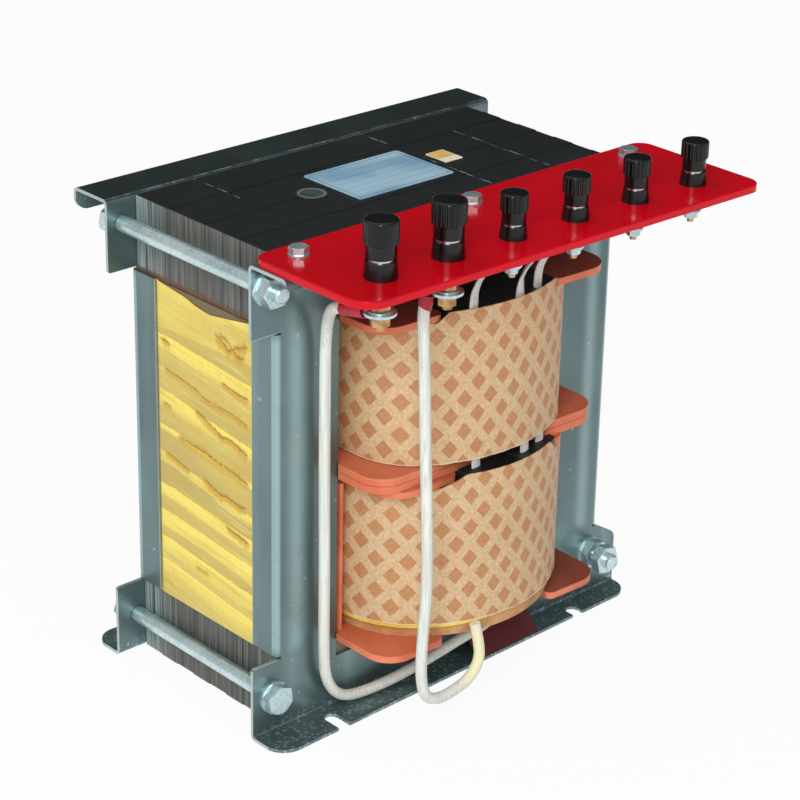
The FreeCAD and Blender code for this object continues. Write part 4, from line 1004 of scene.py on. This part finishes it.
def tapeState(y, z, seed):
    # painted light level of the turn, relief, depth of crease and the broad painted shade about it, at a
    # place on the tape
    share = (y + tape["reach"]) / (2 * tape["reach"])
    wave = 0.9 * wander(seed, y, 0.05) + 0.35 * wander(seed + 2, y, 0.21)
    level, relief = 0.5, 0.1
    previous = None
    for back, front, bright, high in tape["turns"]:
        edge = front + (back - front) * share + wave
        if previous is None or z <= edge:
            inside = max(edge - z, 0.0)
            level = bright
            relief = high * (1 - math.exp(-inside / 0.5)) * math.exp(-inside / 9.0) + 0.05
            previous = edge
    inside = previous - z
    # painted shade: each turn is painted darker further below its edge
    level = level * (1.08 - 0.3 * min(max(inside, 0.0) / 9.0, 1.0))
    crease = 0.0
    creaseShade = 0.0
    overrun = tape["overrun"]
    for points, wide in tape["creases"]:
        ys = [q[0] for q in points]
        if y < min(ys) - overrun or y > max(ys) + overrun:
            continue
        middle = along(points, y) + 0.8 * wander(seed + 9, y, 0.45)
        end = min(1.0, (y - min(ys) + overrun) / 5.0, (max(ys) + overrun - y) / 5.0)
        width = wide * (0.55 + 0.45 * abs(wander(seed + 11, y, 0.3)) * 2) * max(end, 0.05)
        # the deep painted shade in a crease, and a broad painted shade about it
        crease = max(crease, math.exp(-((z - middle) / width) ** 2) * end)
        creaseShade = max(creaseShade, math.exp(-((z - middle + 1.2) / (2.6 * width + 0.8)) ** 2) * end)
    return level, relief, crease, creaseShade


def addTape(name, side, finish, seed):
    # a skin that lies over the solid of the tape
    obj = addGrid(name, tape["across"], tape["up"])
    levels = {}

    def place(u, v):
        y = -tape["halfFace"] + 2 * tape["halfFace"] * u
        high = along(tape["top"], y)
        z = tape["low"] + (high - tape["low"]) * v
        level, relief, crease, creaseShade = tapeState(y, z, seed)
        crumple = tape["crumple"] * noise.noise(Vector((y * 0.16, z * 0.24, seed)))
        tall, broad = tape["tall"], tape["broad"]
        edge = min(1.0, v * tall / 1.5, (1 - v) * tall / 1.5, u * broad / 1.2, (1 - u) * broad / 1.2)
        out = tape["lift"] + (relief + max(crumple, -0.1) * 0.8 - crease * 0.5) * max(edge, 0.0)
        levels[(round(y, 3), round(z, 3))] = (level, crease, creaseShade)
        return mm(side * (tape["face"] + max(out, tape["liftLeast"])), y, z)

    shapeGrid(obj, place)
    shade = obj.data.attributes.new("tapeShade", "FLOAT_COLOR", "POINT")
    for vertex in obj.data.vertices:
        key = (round(vertex.co.y * 1000, 3), round(vertex.co.z * 1000, 3))
        shade.data[vertex.index].color = (*levels.get(key, (0.5, 0.0, 0.0)), 1.0)
    thicken(obj, tape["wall"], 1.0 if side < 0 else -1.0)
    smooth(obj, 60)
    addPiece(obj, finish)


# the varnish at the top of the tape: its height, the bow of its edge about a place, and from which X on
tapeVarnish = {"from": 0.2462, "bow": 2.78, "middle": -0.005, "outside": 0.1315}


def makeYellowTape(name, bare=False):
    f = Finish(name, Coat_Weight=0.2, Coat_Roughness=0.18)
    p = f.point()
    cloud = f.noise(f.stretched(p, (30, 20, 70)), 1.0, 3.0)
    grain = f.noise(p, 500, 2.0)
    x, y, z = f.axes(p)
    if bare:
        # the solid under the wrap, seen inside the window and above the wrap's wavy edge
        base = f.mix(cloud, tint("#C8AE55"), tint("#E6D075"))
        off = y - tapeVarnish["middle"]
        edge = z - off * off * tapeVarnish["bow"]
        varnish = edge.over(tapeVarnish["from"]) * x.size().over(tapeVarnish["outside"])
        base = f.mix(varnish * 0.9, base, tint("#53402F"))
    else:
        shade = f.node("Attribute", {"attribute_name": "tapeShade"}, (), "Color")
        level, crease, creaseShade = f.axes(shade)
        # painted light and shade: each turn's painted brightness sets its gold, up to a painted
        # highlight
        tone = level * 0.95 + (cloud - 0.5) * 0.5
        base = f.mix(tone.fade(0.05, 0.50), tint("#BEA752"), tint("#DEC65E"))
        base = f.mix(tone.fade(0.45, 0.95), base, tint("#FFE766"))
        # painted highlight and shade streaks run down to the front, like the turns
        drawn = f.node("CombineXYZ", None, [0.0, y * 16.0, (z - y * 0.125) * 330.0])
        streak = f.noise(drawn, 1.0, 3.0, 0.6, 0.5)
        base = f.mix(streak.fade(0.52, 0.70) * 0.42, base, tint("#CFA62C"))
        base = f.mix(streak.fade(0.42, 0.30) * 0.45, base, tint("#FFF08A"))
        # painted shade: broad around each crease, and deep in it
        base = f.mix((creaseShade * (0.4 + streak * 1.1)).fade(0.15, 0.95) * 0.8, base, tint("#CF9F1C"))
        base = f.mix((crease * (0.4 + streak * 1.1)).fade(0.3, 1.0) * 0.8, base, tint("#95700F"))
        thread = f.noise(f.stretched(p, (10, 900, 40)), 1.0, 1.0)
        base = f.mix(thread.fade(0.5, 0.8) * 0.12, base, tint("#8F8352"))
    f.put("Base Color", base)
    f.put("Roughness", cloud * 0.2 + 0.24)
    f.bump(grain * 0.2 + cloud, 0.0003, 0.4)
    return f


# Put it together

postNumbers = range(1, 7)
dress(makeZincSheet(), "front_frame", "rear_frame")
dress(makeBrightZinc(), "tie_bolts", "tie_bolt_washers", "tie_bolt_nuts", "board_bolts", "board_washers",
      "board_nuts", "post_nuts_small", "post_under_washers", "lead_lugs", "post_rings")
dress(makeBrass(), "post_nuts_large", "large_post_studs", "small_post_studs")
dress(makeNickel(), *["post_%d_washer" % number for number in postNumbers])
dress(makeCoreIron(), "top_yoke_strips", "bottom_yoke_strips", "centre_leg_strips",
      "left_leg_strips", "right_leg_strips")
dress(makeBoardRed(), "terminal_board")
dress(makeFibrePlate(), "top_flange_plate", "upper_coil_lower_plate", "middle_spacer_plate",
      "lower_coil_upper_plate", "bottom_flange_plate", "side_strips")
dress(makePostBlack(), "large_post_bases", "small_post_bases",
      *["post_%d_cap" % number for number in postNumbers])
dress(makeBlackTape(), "upper_winding", "lower_winding")
dress(makePlainPaper("tanBoard", "#B98350", "#D6A471"), "lower_tan_wrap", "winding_tube")
dress(makeRatingPlate(), "rating_plate")
dress(makeOvalLabel(), "round_sticker")
dress(makeAmberLabel(), "small_sticker")
dress(makeMaroonFilm(), "foot_insulation")
print("CAD nodes dressed")

addPaper("upper_paper", coilUpper, paperUpper, "upper_paper_wrap", 1.0)
addPaper("lower_paper", coilLower, paperLower, "lower_paper_wrap", 2.0)
addBand("yellow_band", coilLower, yellowBand, makePlainPaper("yellowPaper", "#DDBF45", "#F6E06C"),
        "lower_yellow_wrap", 3.0)
print("paper wrapped")

for number, name in enumerate(("tap_lead_1", "tap_lead_2", "tap_lead_3")):
    addFlatLead(name, 11.0 + number)
addBoots(makePlainPaper("bootRed", "#A0122A", "#C41E38", 0.4))
print("flat leads and boots made")

yellowTape = makeYellowTape("yellowTape")
addTape("tape_left", -1, yellowTape, 4.0)
addTape("tape_right", 1, yellowTape, 6.0)
dress(makeYellowTape("tapeBelow", True), "left_leg_tape", "right_leg_tape")
print("tape wound")


# Floor and light

stageSet = {
    "floor": "#F4F4F2", "floorSize": 12, "floorHeight": -0.0005,
    "clear": 0.93,  # how much of the floor is plain white to the camera and in reflections
    "worldWay": (-0.74, -0.40, 0.54),  # where the studio is brightest
    "worldSpan": (-0.6, 1.0), "worldLow": 0.045, "worldHigh": 0.72,
    "aim": (0, -0.03, 0.15),
    "key": {"place": (-1.08, -0.94, 1.05), "size": 0.75, "power": 13.6},
    "fill": {"place": (0.6, -1.6, 0.8), "size": 1.2, "power": 0.7},
    "top": {"place": (0.2, 0.5, 1.8), "size": 1.4, "power": 4.5},
}


def addFloor():
    bpy.ops.object.select_all(action="DESELECT")
    place = (0, 0, stageSet["floorHeight"])
    bpy.ops.mesh.primitive_plane_add(size=stageSet["floorSize"], location=place)
    floor = bpy.context.object
    floor.name = "floor"
    f = Finish("paleFloor", roughness=0.9, Specular_IOR_Level=0.1)
    direct = f.node("LightPath", out="Is Camera Ray")
    gloss = f.node("LightPath", out="Is Glossy Ray")
    clear = f.node("Emission", None, {"Color": (1, 1, 1, 1), "Strength": 1.0})
    f.put("Base Color", tint(stageSet["floor"]))
    seen = direct.most(gloss)
    shader = Value(f, f.shader.outputs[0])
    mixed = f.node("MixShader", None, [seen * stageSet["clear"], shader, clear])
    f.tree.links.new(mixed.socket, f.tree.nodes["Material Output"].inputs["Surface"])
    floor.data.materials.append(f.material)


def addLamp(name, lamp):
    data = bpy.data.lights.new(name, "AREA")
    data.energy = lamp["power"]
    data.size = lamp["size"]
    obj = bpy.data.objects.new(name, data)
    bpy.context.scene.collection.objects.link(obj)
    obj.location = lamp["place"]
    aim = Vector(stageSet["aim"]) - Vector(lamp["place"])
    obj.rotation_euler = aim.to_track_quat("-Z", "Y").to_euler()


def addWorld():
    world = bpy.data.worlds.new("studio")
    world.use_nodes = True
    tree = world.node_tree
    back = tree.nodes["Background"]
    back.inputs["Color"].default_value = (1, 1, 1, 1)
    coord = tree.nodes.new("ShaderNodeTexCoord")
    toward = tree.nodes.new("ShaderNodeVectorMath")
    toward.operation = "DOT_PRODUCT"
    toward.inputs[1].default_value = stageSet["worldWay"]
    spread = tree.nodes.new("ShaderNodeMapRange")
    spread.interpolation_type = "SMOOTHSTEP"
    ends = (*stageSet["worldSpan"], stageSet["worldLow"], stageSet["worldHigh"])
    for socket, value in zip(list(spread.inputs)[1:5], ends):
        socket.default_value = value
    tree.links.new(coord.outputs["Generated"], toward.inputs[0])
    tree.links.new(toward.outputs["Value"], spread.inputs[0])
    tree.links.new(spread.outputs[0], back.inputs["Strength"])
    white = tree.nodes.new("ShaderNodeBackground")
    white.inputs["Color"].default_value = (1, 1, 1, 1)
    path = tree.nodes.new("ShaderNodeLightPath")
    mixer = tree.nodes.new("ShaderNodeMixShader")
    tree.links.new(path.outputs["Is Camera Ray"], mixer.inputs[0])
    tree.links.new(back.outputs[0], mixer.inputs[1])
    tree.links.new(white.outputs[0], mixer.inputs[2])
    tree.links.new(mixer.outputs[0], tree.nodes["World Output"].inputs["Surface"])
    bpy.context.scene.world = world


addFloor()
addWorld()
for name in ("key", "fill", "top"):
    addLamp(name, stageSet[name])
bpy.context.scene.view_settings.view_transform = "Standard"
print("floor and light set")
